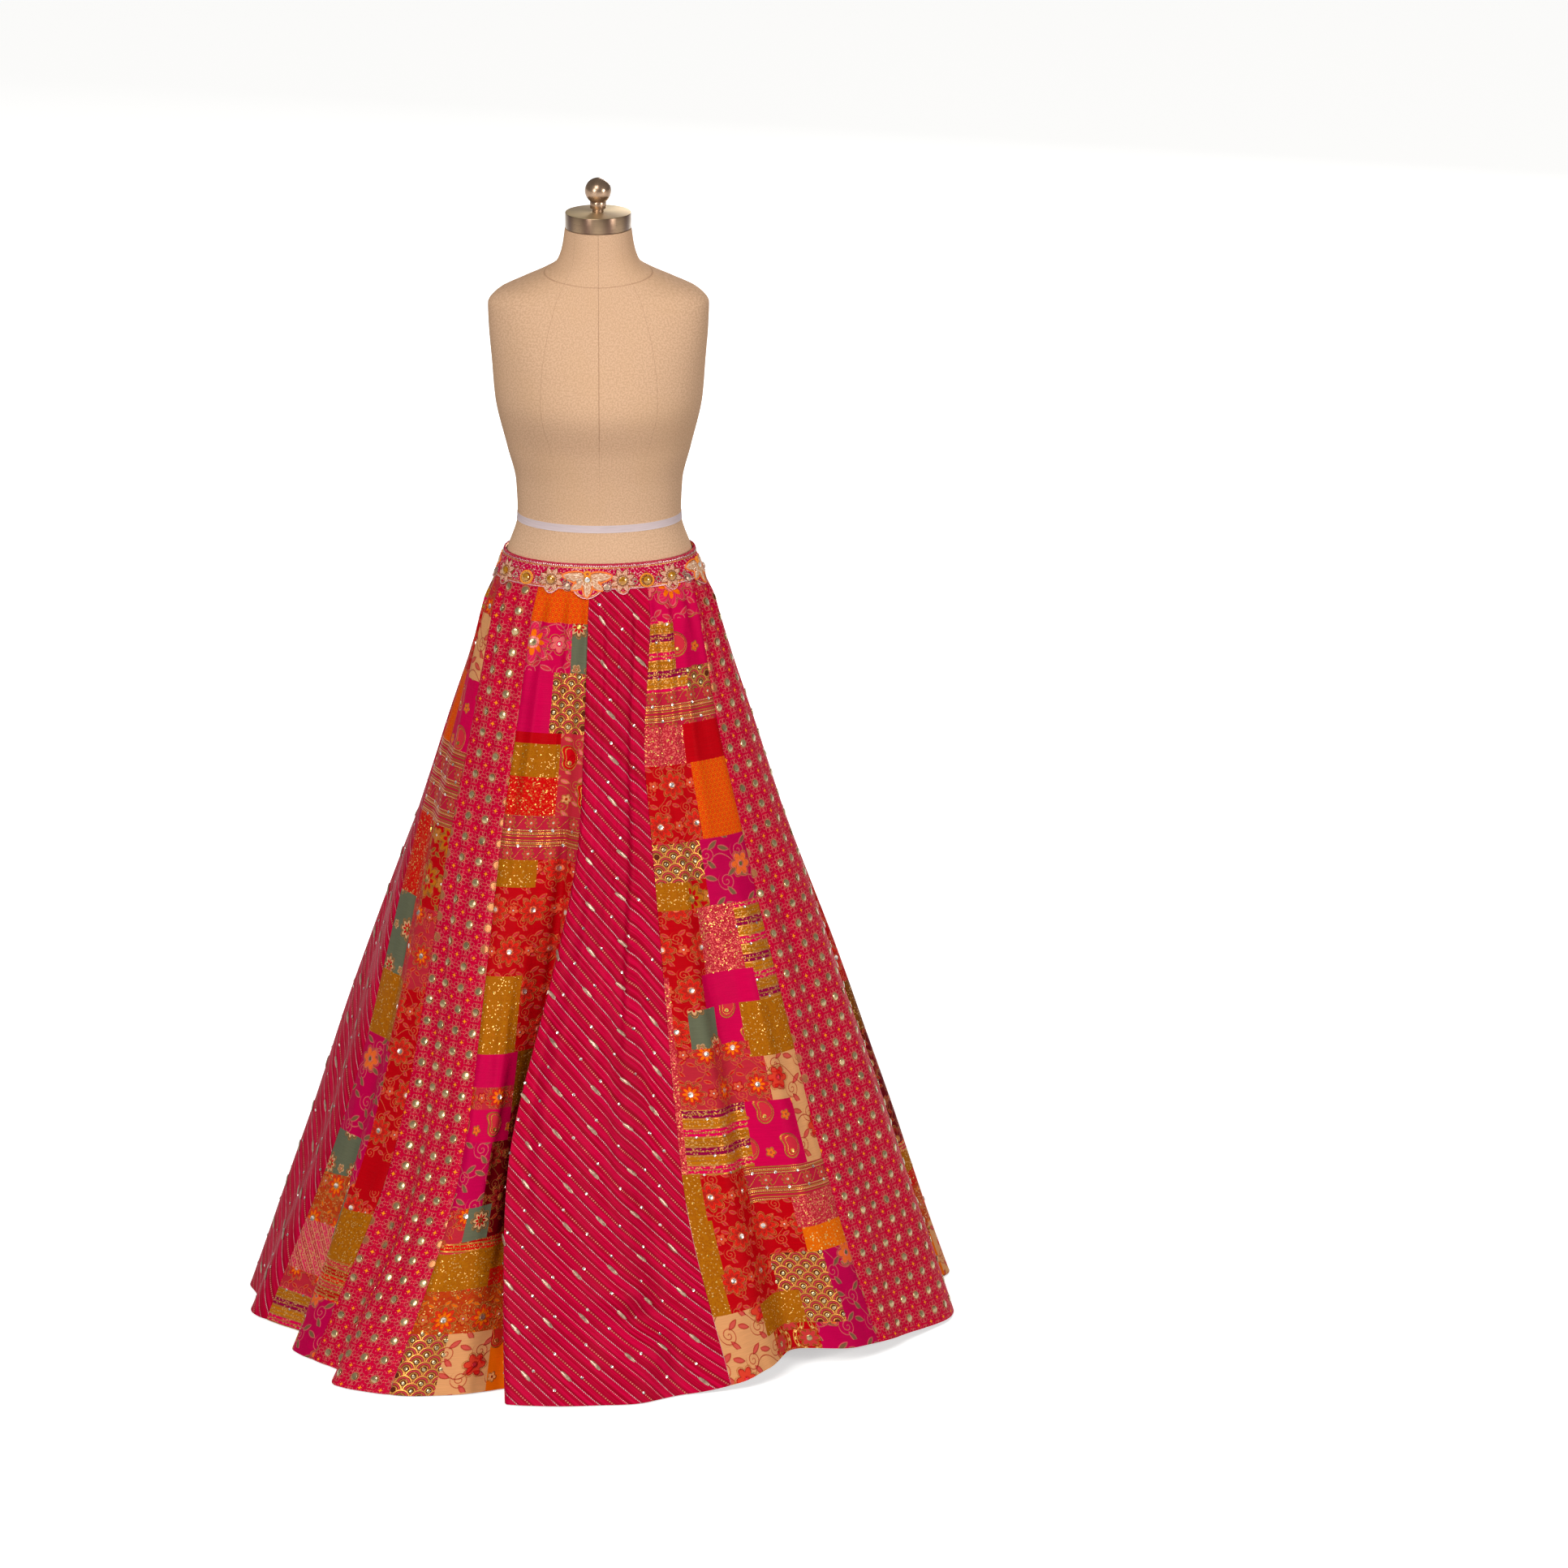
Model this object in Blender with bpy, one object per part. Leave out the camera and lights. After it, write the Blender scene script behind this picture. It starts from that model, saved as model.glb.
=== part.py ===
"""A lehenga skirt on a limbless dress form: twelve flared kalis, a waistband, the form and its stand.

Metres, +Z up. The front faces -Y, and angles run from the front centre towards +X.
"""

import math

import bmesh
import bpy
import numpy as np

# Driving heights above the floor
WAISTBAND_TOP = 1.086
WAISTBAND_BOTTOM = 1.0505
WAISTBAND_MIDDLE = 1.068
CLOTH_TOP = 1.0852
HIP = 0.80
KNEE = 0.30
LEVELS = (WAISTBAND_BOTTOM, HIP, KNEE, 0.0)

# Cloth and its clearances
CLOTH_WALL = 0.002
BAND_WALL = 0.0022
BODY_GAP = 0.0006
SEAM_GAP = 0.0003

# The hem's oval, before the folds
HEM_HALF_WIDTH = 0.487
HEM_FRONT = 0.446
HEM_BACK = 0.462

# Each kali's left edge, seen from outside: node, its angle at the waist, hip, knee and hem in degrees
KALIS = (
    ("kali_00", -8.0, -8.0, -20.5, -16.5),
    ("kali_01", 36.5, 19.5, 18.7, 22.4),
    ("kali_02", 68.0, 57.0, 52.0, 56.0),
    ("kali_03", 96.0, 90.0, 88.0, 88.0),
    ("kali_04", 123.0, 120.0, 120.0, 120.0),
    ("kali_05", 149.0, 149.0, 151.0, 152.0),
    ("kali_06", 175.0, 179.0, 183.0, 184.0),
    ("kali_07", 202.0, 209.0, 215.0, 216.0),
    ("kali_08", 228.0, 239.0, 247.0, 248.0),
    ("kali_09", 256.0, 270.0, 281.0, 280.0),
    ("kali_10", 284.0, 297.0, 309.5, 304.0),
    ("kali_11", 314.0, 321.0, 329.0, 325.0),
)

# Each ridge or valley: its angle at the hem, how far it stands out at the hip, knee and hem, how far it leans
# towards +angle at the knee and hem, and how high its hem hangs over the floor.
FOLDS = (
    (-85.0, 0.000, -0.016, 0.006, 0.000, 0.000, 0.000),
    (-71.0, -0.006, -0.034, -0.045, 0.008, 0.012, 0.000),
    (-60.0, 0.000, -0.002, 0.006, -0.012, -0.016, 0.000),
    (-51.0, 0.000, -0.012, 0.008, 0.006, 0.008, 0.000),
    (-43.0, 0.002, 0.012, 0.062, -0.004, -0.010, 0.000),
    (-34.0, 0.003, 0.016, 0.048, 0.000, 0.000, 0.000),
    (-26.0, -0.002, -0.014, 0.010, 0.004, 0.006, 0.000),
    (-19.5, -0.010, -0.058, -0.034, 0.014, 0.014, 0.000),
    (-14.5, 0.003, 0.014, 0.031, -0.012, -0.010, 0.000),
    (-5.0, 0.002, 0.012, 0.025, 0.000, 0.000, 0.000),
    (5.0, 0.003, 0.013, 0.018, 0.000, 0.000, 0.000),
    (15.5, -0.005, -0.024, -0.012, 0.000, 0.000, 0.001),
    (24.0, 0.000, -0.004, -0.004, -0.004, 0.006, 0.012),
    (31.0, 0.002, 0.008, -0.016, 0.000, 0.000, 0.022),
    (39.0, 0.000, -0.010, -0.052, 0.000, 0.004, 0.029),
    (50.0, 0.001, 0.010, -0.014, 0.000, 0.000, 0.024),
    (64.0, 0.000, 0.002, -0.016, 0.000, 0.000, 0.012),
    (81.0, 0.003, 0.008, 0.008, 0.000, 0.000, 0.002),
    (95.0, -0.004, -0.018, -0.026, 0.006, 0.008, 0.000),
    (106.0, 0.002, 0.012, 0.018, -0.010, -0.012, 0.000),
    (121.0, -0.008, -0.030, -0.036, 0.004, 0.006, 0.000),
    (134.0, 0.003, 0.014, 0.024, 0.006, 0.008, 0.000),
    (145.0, 0.000, -0.008, -0.016, 0.000, 0.000, 0.000),
    (157.0, 0.002, 0.012, 0.022, 0.000, 0.000, 0.000),
    (171.0, -0.010, -0.034, -0.030, -0.010, -0.010, 0.000),
    (181.0, 0.004, 0.016, 0.024, 0.012, 0.012, 0.000),
    (197.0, 0.000, -0.010, -0.014, 0.000, 0.000, 0.004),
    (209.0, 0.002, 0.014, 0.018, 0.000, 0.000, 0.002),
    (222.0, -0.008, -0.028, -0.034, 0.006, 0.008, 0.000),
    (234.0, 0.002, 0.012, 0.024, -0.008, -0.010, 0.000),
    (248.0, -0.003, -0.018, -0.026, 0.000, 0.000, 0.000),
    (261.0, 0.002, 0.008, 0.014, 0.000, 0.000, 0.000),
    (268.0, 0.000, -0.008, -0.004, 0.000, 0.000, 0.000),
)
LIFT_REACH = 0.35

# Waist gathers: shallow flutes from the waistband's edge, which die out below it
GATHERS_PER_KALI = 3
GATHER_HEIGHT = 0.0060
GATHER_FULL = 1.015
GATHER_END = 0.86

# The cloth's grid
COLUMNS_PER_KALI = 12
ROW_HEIGHTS = (
    CLOTH_TOP, WAISTBAND_MIDDLE, WAISTBAND_BOTTOM, 1.032, 1.005, 0.965, 0.91, 0.84, 0.75,
    0.65, 0.54, 0.43, 0.32, 0.21, 0.12, 0.05, 0.0,
)

# Applique of the waistband, which repeats every quarter turn: degrees from the first lotus, kind
FIRST_LOTUS = -9.5
APPLIQUE = (
    (0.0, "lotus"),
    (27.0, "flower"),
    (45.0, "round"),
    (63.0, "flower"),
)
QUARTERS = 4
# Kind: half width, half height, how far it hangs below the band, how thick it is
APPLIQUE_SIZES = {
    "lotus": (0.036, 0.022, 0.0120, 0.0018),
    "flower": (0.0165, 0.0165, 0.0070, 0.0015),
    "round": (0.009, 0.009, 0.0, 0.0022),
}
BAND_COLUMNS = 144
BAND_ROWS = 5

# The form's body: height, half width, depth of its front and of its back from the pole's axis
BODY_SECTIONS = (
    (0.870, 0.148, 0.096, 0.112),
    (0.900, 0.160, 0.102, 0.120),
    (0.940, 0.162, 0.104, 0.121),
    (0.990, 0.155, 0.102, 0.117),
    (1.040, 0.1425, 0.0985, 0.107),
    (1.086, 0.126, 0.093, 0.096),
    (1.134, 0.112, 0.086, 0.086),
    (1.180, 0.114, 0.090, 0.086),
    (1.230, 0.126, 0.100, 0.092),
    (1.300, 0.142, 0.122, 0.100),
    (1.350, 0.146, 0.112, 0.104),
    (1.400, 0.150, 0.092, 0.102),
    (1.430, 0.151, 0.077, 0.096),
    (1.446, 0.139, 0.070, 0.090),
    (1.460, 0.110, 0.062, 0.082),
    (1.475, 0.076, 0.055, 0.068),
    (1.487, 0.057, 0.050, 0.058),
    (1.510, 0.049, 0.047, 0.050),
    (1.5337, 0.0455, 0.0455, 0.0455),
)
BODY_COLUMNS = 48

# Neck cap, finial and stand
CAP_RADIUS = 0.045
CAP_BOTTOM = 1.534
CAP_TOP = 1.556
POST_RADIUS = 0.0106
POST_TOP = 1.571
BALL_RADIUS = 0.018
BALL_CENTRE = 1.5855
POLE_RADIUS = 0.016
BASE_RADIUS = 0.17
BASE_HEIGHT = 0.010
FACE_GAP = 0.0003

# Material: colour, roughness, metallic
MATERIALS = {
    "stripe_silk": ((0.60, 0.005, 0.055), 0.45, 0.0),
    "flower_silk": ((0.58, 0.005, 0.05), 0.45, 0.0),
    "patchwork": ((0.68, 0.09, 0.06), 0.55, 0.0),
    "band_silk": ((0.55, 0.006, 0.10), 0.5, 0.0),
    "form_linen": ((0.77, 0.51, 0.29), 0.9, 0.0),
    "brushed_cap": ((0.50, 0.45, 0.38), 0.35, 1.0),
    "stand_paint": ((0.08, 0.07, 0.065), 0.45, 0.0),
}


def hermite(start, start_slope, end, end_slope, step):
    """A cubic from start to end, with slopes given per whole step."""
    square = step * step
    cube = square * step
    return (
        start * (2 * cube - 3 * square + 1)
        + start_slope * (cube - 2 * square + step)
        + end * (3 * square - 2 * cube)
        + end_slope * (cube - square)
    )


def smooth_through(places, values, where):
    """A curve through values at places that is level at each highest and lowest one."""
    gaps = np.diff(places)
    rates = np.diff(values) / gaps
    same_way = rates[:-1] * rates[1:] > 0
    total = np.where(same_way, rates[:-1] + rates[1:], 1.0)
    inner = np.where(same_way, 2 * rates[:-1] * rates[1:] / total, 0.0)
    slopes = np.concatenate([[rates[0]], inner, [rates[-1]]])
    span = np.clip(np.searchsorted(places, where, side="right") - 1, 0, len(gaps) - 1)
    step = (where - places[span]) / gaps[span]
    return hermite(
        values[span], slopes[span] * gaps[span], values[span + 1], slopes[span + 1] * gaps[span], step
    )


def around(table, column, angle):
    """One column of a table of angles, as a smooth closed curve."""
    rows = np.array(table, float)
    places = np.concatenate([rows[:, 0] - 360, rows[:, 0], rows[:, 0] + 360])
    values = np.tile(rows[:, column], 3)
    return smooth_through(places, values, np.mod(angle + 180, 360) - 180)


def oval(angle, half_width, front, back):
    """Radius at an angle from the front centre."""
    sine = np.sin(np.radians(angle))
    cosine = np.cos(np.radians(angle))
    depth = np.where(cosine > 0, front, back)
    return 1 / np.sqrt((sine / half_width) ** 2 + (cosine / depth) ** 2)


def body_radius(angle, height):
    rows = np.array(BODY_SECTIONS)
    sizes = [smooth_through(rows[:, 0], rows[:, column], height) for column in (1, 2, 3)]
    return oval(angle, *sizes)


def down_the_cloth(height, *values):
    """A smooth run through values given at the waistband, hip, knee and hem."""
    drops = -np.array(LEVELS)
    values = np.stack(np.broadcast_arrays(*values, height)[:-1])
    gaps = np.diff(drops)
    rates = np.diff(values, axis=0) / gaps.reshape(-1, *[1] * (values.ndim - 1))
    same_way = rates[:-1] * rates[1:] > 0
    total = np.where(same_way, rates[:-1] + rates[1:], 1.0)
    inner = np.where(same_way, 2 * rates[:-1] * rates[1:] / total, 0.0)
    slopes = np.concatenate([rates[:1], inner, rates[-1:]])
    drop = np.broadcast_to(-np.minimum(height, WAISTBAND_BOTTOM), values.shape[1:])
    span = np.clip(np.searchsorted(drops, drop, side="right") - 1, 0, len(gaps) - 1)
    start, end, start_slope, end_slope = (
        np.take_along_axis(source, (span + more)[None], axis=0)[0]
        for source, more in ((values, 0), (values, 1), (slopes, 0), (slopes, 1))
    )
    gap = gaps[span]
    return hermite(start, start_slope * gap, end, end_slope * gap, (drop - drops[span]) / gap)


def gather_height(height):
    """How far the waist gathers stand out at most, none under the waistband."""
    grow = np.clip((WAISTBAND_BOTTOM - height) / (WAISTBAND_BOTTOM - GATHER_FULL), 0, 1)
    fade = np.clip((height - GATHER_END) / (GATHER_FULL - GATHER_END), 0, 1)
    return GATHER_HEIGHT * grow * fade**1.5


def turned(angle, radius, sideways, height):
    """Points at an angle and radius, shifted sideways."""
    sine = np.sin(np.radians(angle))
    cosine = np.cos(np.radians(angle))
    x = radius * sine + sideways * cosine
    y = -radius * cosine + sideways * sine
    return np.stack(np.broadcast_arrays(x, y, height), -1)


def cloth_by_angle(hem_angle, angle, height):
    """The cloth's outer face, before the gathers, where the cloth of a hem angle hangs at an angle."""
    descent = np.clip((WAISTBAND_BOTTOM - height) / WAISTBAND_BOTTOM, 0, 1)
    waist = body_radius(angle, np.maximum(height, WAISTBAND_BOTTOM)) + BODY_GAP + CLOTH_WALL
    hem = oval(angle, HEM_HALF_WIDTH, HEM_FRONT, HEM_BACK)
    hip_out, knee_out, hem_out, knee_side, hem_side, lift = (
        around(FOLDS, column, hem_angle) for column in range(1, 7)
    )
    radius = waist + (hem - waist) * descent + down_the_cloth(height, 0.0, hip_out, knee_out, hem_out)
    sideways = down_the_cloth(height, 0.0, 0.0, knee_side, hem_side)
    low = np.clip(1 - height / LIFT_REACH, 0, 1)
    return turned(angle, radius, sideways, height + lift * low**2)


def hem_angles():
    """Hem angle against place along the cloth, where each kali is 1 long and its width is spread evenly."""
    edges = [row[4] for row in KALIS] + [KALIS[0][4] + 360]
    places, angles = [], []
    for index, (left, right) in enumerate(zip(edges, edges[1:])):
        fine = np.linspace(left, right, 241)
        points = cloth_by_angle(fine, fine, np.full(241, KNEE / 2))
        length = np.concatenate([[0], np.cumsum(np.linalg.norm(np.diff(points, axis=0), axis=1))])
        places.append(index + length[:-1] / length[-1])
        angles.append(fine[:-1])
    return np.concatenate(places + [[len(KALIS)]]), np.concatenate(angles + [[edges[-1]]])


HEM_PLACES, HEM_ANGLES = hem_angles()


def edge_angle(column, place):
    """The angle at one level, spread evenly between the kalis' edges."""
    edges = [row[column] for row in KALIS] + [KALIS[0][column] + 360]
    return np.interp(place, np.arange(len(edges)), edges)


def cloth(place, height):
    """The cloth's outer face at a place along it, counted in kalis from the first one's left edge."""
    turns = np.floor(place / len(KALIS))
    rest = place - turns * len(KALIS)
    hem_angle = np.interp(rest, HEM_PLACES, HEM_ANGLES)
    knee_angle = hem_angle + edge_angle(3, rest) - edge_angle(4, rest)
    angle = down_the_cloth(height, edge_angle(1, rest), edge_angle(2, rest), knee_angle, hem_angle)
    points = cloth_by_angle(hem_angle, angle, height)
    uneven = 0.8 + 0.2 * np.sin(5 * place)
    flute = uneven * (0.5 + 0.5 * np.cos(2 * np.pi * GATHERS_PER_KALI * place)) * gather_height(height)
    out = points[..., :2] / np.linalg.norm(points[..., :2], axis=-1, keepdims=True)
    points[..., :2] += out * flute[..., None]
    return points


def unit(vectors):
    return vectors / np.linalg.norm(vectors, axis=-1, keepdims=True)


def cloth_directions(place, height):
    """The cloth's sideways direction and its outward normal."""
    step = 0.02
    rise = 0.004
    sideways = unit(cloth(place + step, height) - cloth(place - step, height))
    upwards = cloth(place, height + rise) - cloth(place, np.maximum(height - rise, 0.0))
    return sideways, unit(np.cross(sideways, upwards))


def material(name):
    colour, roughness, metallic = MATERIALS[name]
    made = bpy.data.materials.new(name)
    made.use_nodes = True
    shader = made.node_tree.nodes["Principled BSDF"]
    shader.inputs["Base Color"].default_value = (*colour, 1.0)
    shader.inputs["Roughness"].default_value = roughness
    shader.inputs["Metallic"].default_value = metallic
    made.diffuse_color = (*colour, 1.0)
    return made


def add_object(name, mesh, look, parent):
    made = bpy.data.objects.new(name, mesh)
    bpy.context.scene.collection.objects.link(made)
    mesh.materials.append(look)
    made.parent = parent
    return made


def wall_mesh(name, outer, inner, closed_round):
    """A closed wall between two grids of points with the same rows and columns."""
    rows, columns, _ = outer.shape
    build = bmesh.new()
    sides = [[[build.verts.new(point) for point in row] for row in grid] for grid in (outer, inner)]
    last = columns if closed_round else columns - 1
    for row in range(rows - 1):
        for column in range(last):
            after = (column + 1) % columns
            one = np.linalg.norm(outer[row, column] - outer[row + 1, after])
            other = np.linalg.norm(outer[row, after] - outer[row + 1, column])
            for side, grid in enumerate(sides):
                top, top_after = grid[row][column], grid[row][after]
                low, low_after = grid[row + 1][column], grid[row + 1][after]
                if one < other:
                    faces = ((top, low, low_after), (top, low_after, top_after))
                else:
                    faces = ((top, low, top_after), (low, low_after, top_after))
                for face in faces:
                    build.faces.new(face if side == 0 else face[::-1])
    for column in range(last):
        after = (column + 1) % columns
        for row, turn in ((0, 1), (rows - 1, -1)):
            rim = (sides[0][row][column], sides[0][row][after], sides[1][row][after], sides[1][row][column])
            build.faces.new(rim[::turn])
    if not closed_round:
        for row in range(rows - 1):
            for column, turn in ((0, -1), (columns - 1, 1)):
                top, low = sides[0][row][column], sides[0][row + 1][column]
                top_inside, low_inside = sides[1][row][column], sides[1][row + 1][column]
                for edge in ((top, low, low_inside), (top, low_inside, top_inside)):
                    build.faces.new(edge[::turn])
    mesh = bpy.data.meshes.new(name)
    build.to_mesh(mesh)
    build.free()
    mesh.shade_smooth()
    mesh.set_sharp_from_angle(angle=math.radians(50))
    return mesh


def make_kali(index, look, parent):
    """One flared panel, with half a seam gap off each long edge."""
    places = index + np.linspace(0, 1, COLUMNS_PER_KALI + 1)
    place, height = np.meshgrid(places, np.array(ROW_HEIGHTS))
    sideways, normal = cloth_directions(place, height)
    outer = cloth(place, height)
    trim = np.zeros(place.shape)
    trim[:, 0] = SEAM_GAP / 2
    trim[:, -1] = -SEAM_GAP / 2
    outer = outer + sideways * trim[..., None]
    inner = outer - normal * CLOTH_WALL
    inner[-1, :, 2] = outer[-1, :, 2]
    inner[0, :, 2] = outer[0, :, 2]
    name = KALIS[index][0]
    return add_object(name, wall_mesh(name, outer, inner, False), look, parent)


def applique_pieces():
    """Angle and kind of every applique round the waistband."""
    return [
        (FIRST_LOTUS + 90 * quarter + angle, kind) for quarter in range(QUARTERS) for angle, kind in APPLIQUE
    ]


def band_face(angle, height):
    """Radius of the waistband's inner face, clear of the gathered cloth behind it."""
    reach = np.maximum(height, WAISTBAND_BOTTOM)
    radius = body_radius(angle, np.minimum(reach, CLOTH_TOP)) + BODY_GAP + CLOTH_WALL
    hem = oval(angle, HEM_HALF_WIDTH, HEM_FRONT, HEM_BACK)
    descent = (WAISTBAND_BOTTOM - np.minimum(height, WAISTBAND_BOTTOM)) / WAISTBAND_BOTTOM
    return radius + (hem - radius) * descent + gather_height(height) + SEAM_GAP


def make_waistband(look, parent):
    """A ring whose lower edge is scalloped and whose outer points carry the thick applique."""
    angles = np.linspace(-180, 180, BAND_COLUMNS, endpoint=False)
    round_there = np.radians(body_radius(angles, np.full(BAND_COLUMNS, WAISTBAND_MIDDLE)))
    bottom = np.full(BAND_COLUMNS, WAISTBAND_BOTTOM)
    for centre, kind in applique_pieces():
        half_width, _, hang, _ = APPLIQUE_SIZES[kind]
        off = (np.mod(angles - centre + 180, 360) - 180) * round_there
        tongue = hang * np.clip(1 - (off / (0.55 * half_width)) ** 2, 0, 1)
        bottom = np.minimum(bottom, WAISTBAND_BOTTOM - tongue)
    share = np.linspace(0, 1, BAND_ROWS + 1)[:, None]
    angle = np.broadcast_to(angles, (BAND_ROWS + 1, BAND_COLUMNS))
    height = WAISTBAND_TOP + (bottom - WAISTBAND_TOP) * share
    raised = np.zeros(height.shape)
    for centre, kind in applique_pieces():
        half_width, half_height, hang, thick = APPLIQUE_SIZES[kind]
        off = (np.mod(angle - centre + 180, 360) - 180) * round_there
        piece_middle = WAISTBAND_BOTTOM - hang + half_height
        reach = (off / half_width) ** 2 + ((height - piece_middle) / half_height) ** 2
        raised = np.maximum(raised, thick * np.clip(2 * (1 - reach), 0, 1))
    inner = turned(angle, band_face(angle, height), 0.0, height)
    outer = turned(angle, band_face(angle, height) + BAND_WALL + raised, 0.0, height)
    return add_object("waistband", wall_mesh("waistband", outer, inner, True), look, parent)


def make_form_body(look, parent):
    """The padded body: rings from the hip to the neck, bridged and closed."""
    angles = np.linspace(-180, 180, BODY_COLUMNS, endpoint=False)
    build = bmesh.new()
    rings = []
    heights = [row[0] for row in BODY_SECTIONS] + [WAISTBAND_BOTTOM, WAISTBAND_MIDDLE]
    for height in sorted(heights):
        points = turned(angles, body_radius(angles, np.full(BODY_COLUMNS, height)), 0.0, height)
        rings.append([build.verts.new(point) for point in points])
    build.faces.new(rings[0][::-1])
    for lower, upper in zip(rings, rings[1:]):
        for column in range(BODY_COLUMNS):
            after = (column + 1) % BODY_COLUMNS
            build.faces.new((lower[column], lower[after], upper[after], upper[column]))
    build.faces.new(rings[-1])
    mesh = bpy.data.meshes.new("form_body")
    build.to_mesh(mesh)
    build.free()
    mesh.shade_smooth()
    mesh.set_sharp_from_angle(angle=math.radians(50))
    return add_object("form_body", mesh, look, parent)


def turned_piece(name, profile, look, parent, sides):
    """A round piece spun from (radius, height) points that run from its bottom to its top on the axis."""
    build = bmesh.new()
    points = [build.verts.new((radius, 0, height)) for radius, height in profile]
    edges = [build.edges.new(pair) for pair in zip(points, points[1:])]
    bmesh.ops.spin(
        build, geom=points + edges, cent=(0, 0, 0), axis=(0, 0, 1), angle=2 * math.pi, steps=sides,
        use_merge=True, use_duplicate=False,
    )
    bmesh.ops.remove_doubles(build, verts=build.verts, dist=1e-6)
    bmesh.ops.recalc_face_normals(build, faces=build.faces)
    mesh = bpy.data.meshes.new(name)
    build.to_mesh(mesh)
    build.free()
    mesh.shade_smooth()
    mesh.set_sharp_from_angle(angle=math.radians(40))
    return add_object(name, mesh, look, parent)


def make_neck_cap(look, parent):
    edge = 0.003
    profile = (
        (0.0, CAP_BOTTOM), (CAP_RADIUS - edge / 3, CAP_BOTTOM), (CAP_RADIUS, CAP_BOTTOM + edge / 3),
        (CAP_RADIUS, CAP_TOP - edge), (CAP_RADIUS - edge * 0.3, CAP_TOP - edge * 0.3),
        (CAP_RADIUS - edge, CAP_TOP), (0.0, CAP_TOP),
    )
    return turned_piece("form_neck_cap", profile, look, parent, 32)


def make_finial(look, parent):
    """The ball and its post, which stands on the cap."""
    foot = CAP_TOP + FACE_GAP
    join = math.asin(POST_RADIUS * 0.8 / BALL_RADIUS)
    turns = np.linspace(join, math.pi, 9)
    profile = [(0.0, foot), (POST_RADIUS, foot), (POST_RADIUS, POST_TOP - 0.002)]
    for turn in turns[:-1]:
        profile.append((BALL_RADIUS * math.sin(turn), BALL_CENTRE - BALL_RADIUS * math.cos(turn)))
    profile.append((0.0, BALL_CENTRE + BALL_RADIUS))
    return turned_piece("form_finial", profile, look, parent, 24)


def make_stand(look, parent):
    edge = 0.002
    base = (
        (0.0, 0.0), (BASE_RADIUS, 0.0), (BASE_RADIUS, BASE_HEIGHT - edge),
        (BASE_RADIUS - edge, BASE_HEIGHT), (0.0, BASE_HEIGHT),
    )
    turned_piece("stand_base", base, look, parent, 48)
    foot = BASE_HEIGHT + FACE_GAP
    head = BODY_SECTIONS[0][0] - FACE_GAP
    pole = ((0.0, foot), (POLE_RADIUS, foot), (POLE_RADIUS, head), (0.0, head))
    turned_piece("stand_pole", pole, look, parent, 24)


def put_origin_under_middle(root):
    """Moves everything so that the origin lies under the middle of the whole object's box."""
    points = np.array([
        vertex.co[:] for made in bpy.data.objects if made.type == "MESH" for vertex in made.data.vertices
    ])
    middle = (points.min(axis=0) + points.max(axis=0)) / 2
    root.location = (-middle[0], -middle[1], 0.0)


def main():
    for old in list(bpy.data.objects):
        bpy.data.objects.remove(old)
    root = bpy.data.objects.new("lehenga_on_form", None)
    bpy.context.scene.collection.objects.link(root)
    looks = {name: material(name) for name in MATERIALS}
    for index in range(len(KALIS)):
        if index % 2:
            look = looks["patchwork"]
        else:
            look = looks["stripe_silk"] if index % 4 == 0 else looks["flower_silk"]
        make_kali(index, look, root)
    make_waistband(looks["band_silk"], root)
    make_form_body(looks["form_linen"], root)
    make_neck_cap(looks["brushed_cap"], root)
    make_finial(looks["brushed_cap"], root)
    make_stand(looks["stand_paint"], root)
    put_origin_under_middle(root)


main()
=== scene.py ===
# %% [markdown]
# A lehenga skirt on a dress form. A lehenga is a long flared Indian skirt sewn from tapered panels, the
# kalis, and gathered into a stiff waistband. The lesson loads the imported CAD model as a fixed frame, then
# gives every cloth panel its drape and its embroidery, the waistband its raised flowers, and the form its
# linen cover. Sizes are in metres, +Z is up, and the front faces -Y.

# %% Load the frame
import math

import bpy
import numpy as np
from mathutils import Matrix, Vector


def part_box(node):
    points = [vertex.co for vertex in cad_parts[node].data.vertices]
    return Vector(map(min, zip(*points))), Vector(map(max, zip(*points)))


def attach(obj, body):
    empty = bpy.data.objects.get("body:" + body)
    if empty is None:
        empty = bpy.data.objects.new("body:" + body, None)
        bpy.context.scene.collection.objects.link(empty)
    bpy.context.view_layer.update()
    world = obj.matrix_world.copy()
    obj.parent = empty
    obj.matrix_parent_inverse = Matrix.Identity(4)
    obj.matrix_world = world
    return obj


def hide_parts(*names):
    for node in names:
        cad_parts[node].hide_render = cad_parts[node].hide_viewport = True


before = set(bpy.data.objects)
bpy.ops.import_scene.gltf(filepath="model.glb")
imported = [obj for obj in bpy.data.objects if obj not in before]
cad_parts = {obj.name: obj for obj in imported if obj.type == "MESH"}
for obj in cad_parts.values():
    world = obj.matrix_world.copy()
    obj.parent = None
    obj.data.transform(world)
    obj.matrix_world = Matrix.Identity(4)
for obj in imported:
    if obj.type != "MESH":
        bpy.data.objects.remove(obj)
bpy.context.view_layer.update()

pole_low, pole_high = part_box("stand_pole")
AXIS = np.array([(pole_low[0] + pole_high[0]) / 2, (pole_low[1] + pole_high[1]) / 2, 0.0])

# %% [markdown]
# The camera stands far off with a long lens, as a catalogue photograph is taken, and looks down a little.
# A long lens keeps the hem's far side from shrinking. The floor is one pale sheet, large enough to fill
# the view. It sends no light back up, because a floor this bright would fill the folds, and the folds are
# what shows the drape.

# %% Camera
VIEW_DISTANCE = 16.0
VIEW_HEIGHT = 5.2439
AIM = (0.2531, 0.0, 0.7455)
LENS = 276.55


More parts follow.
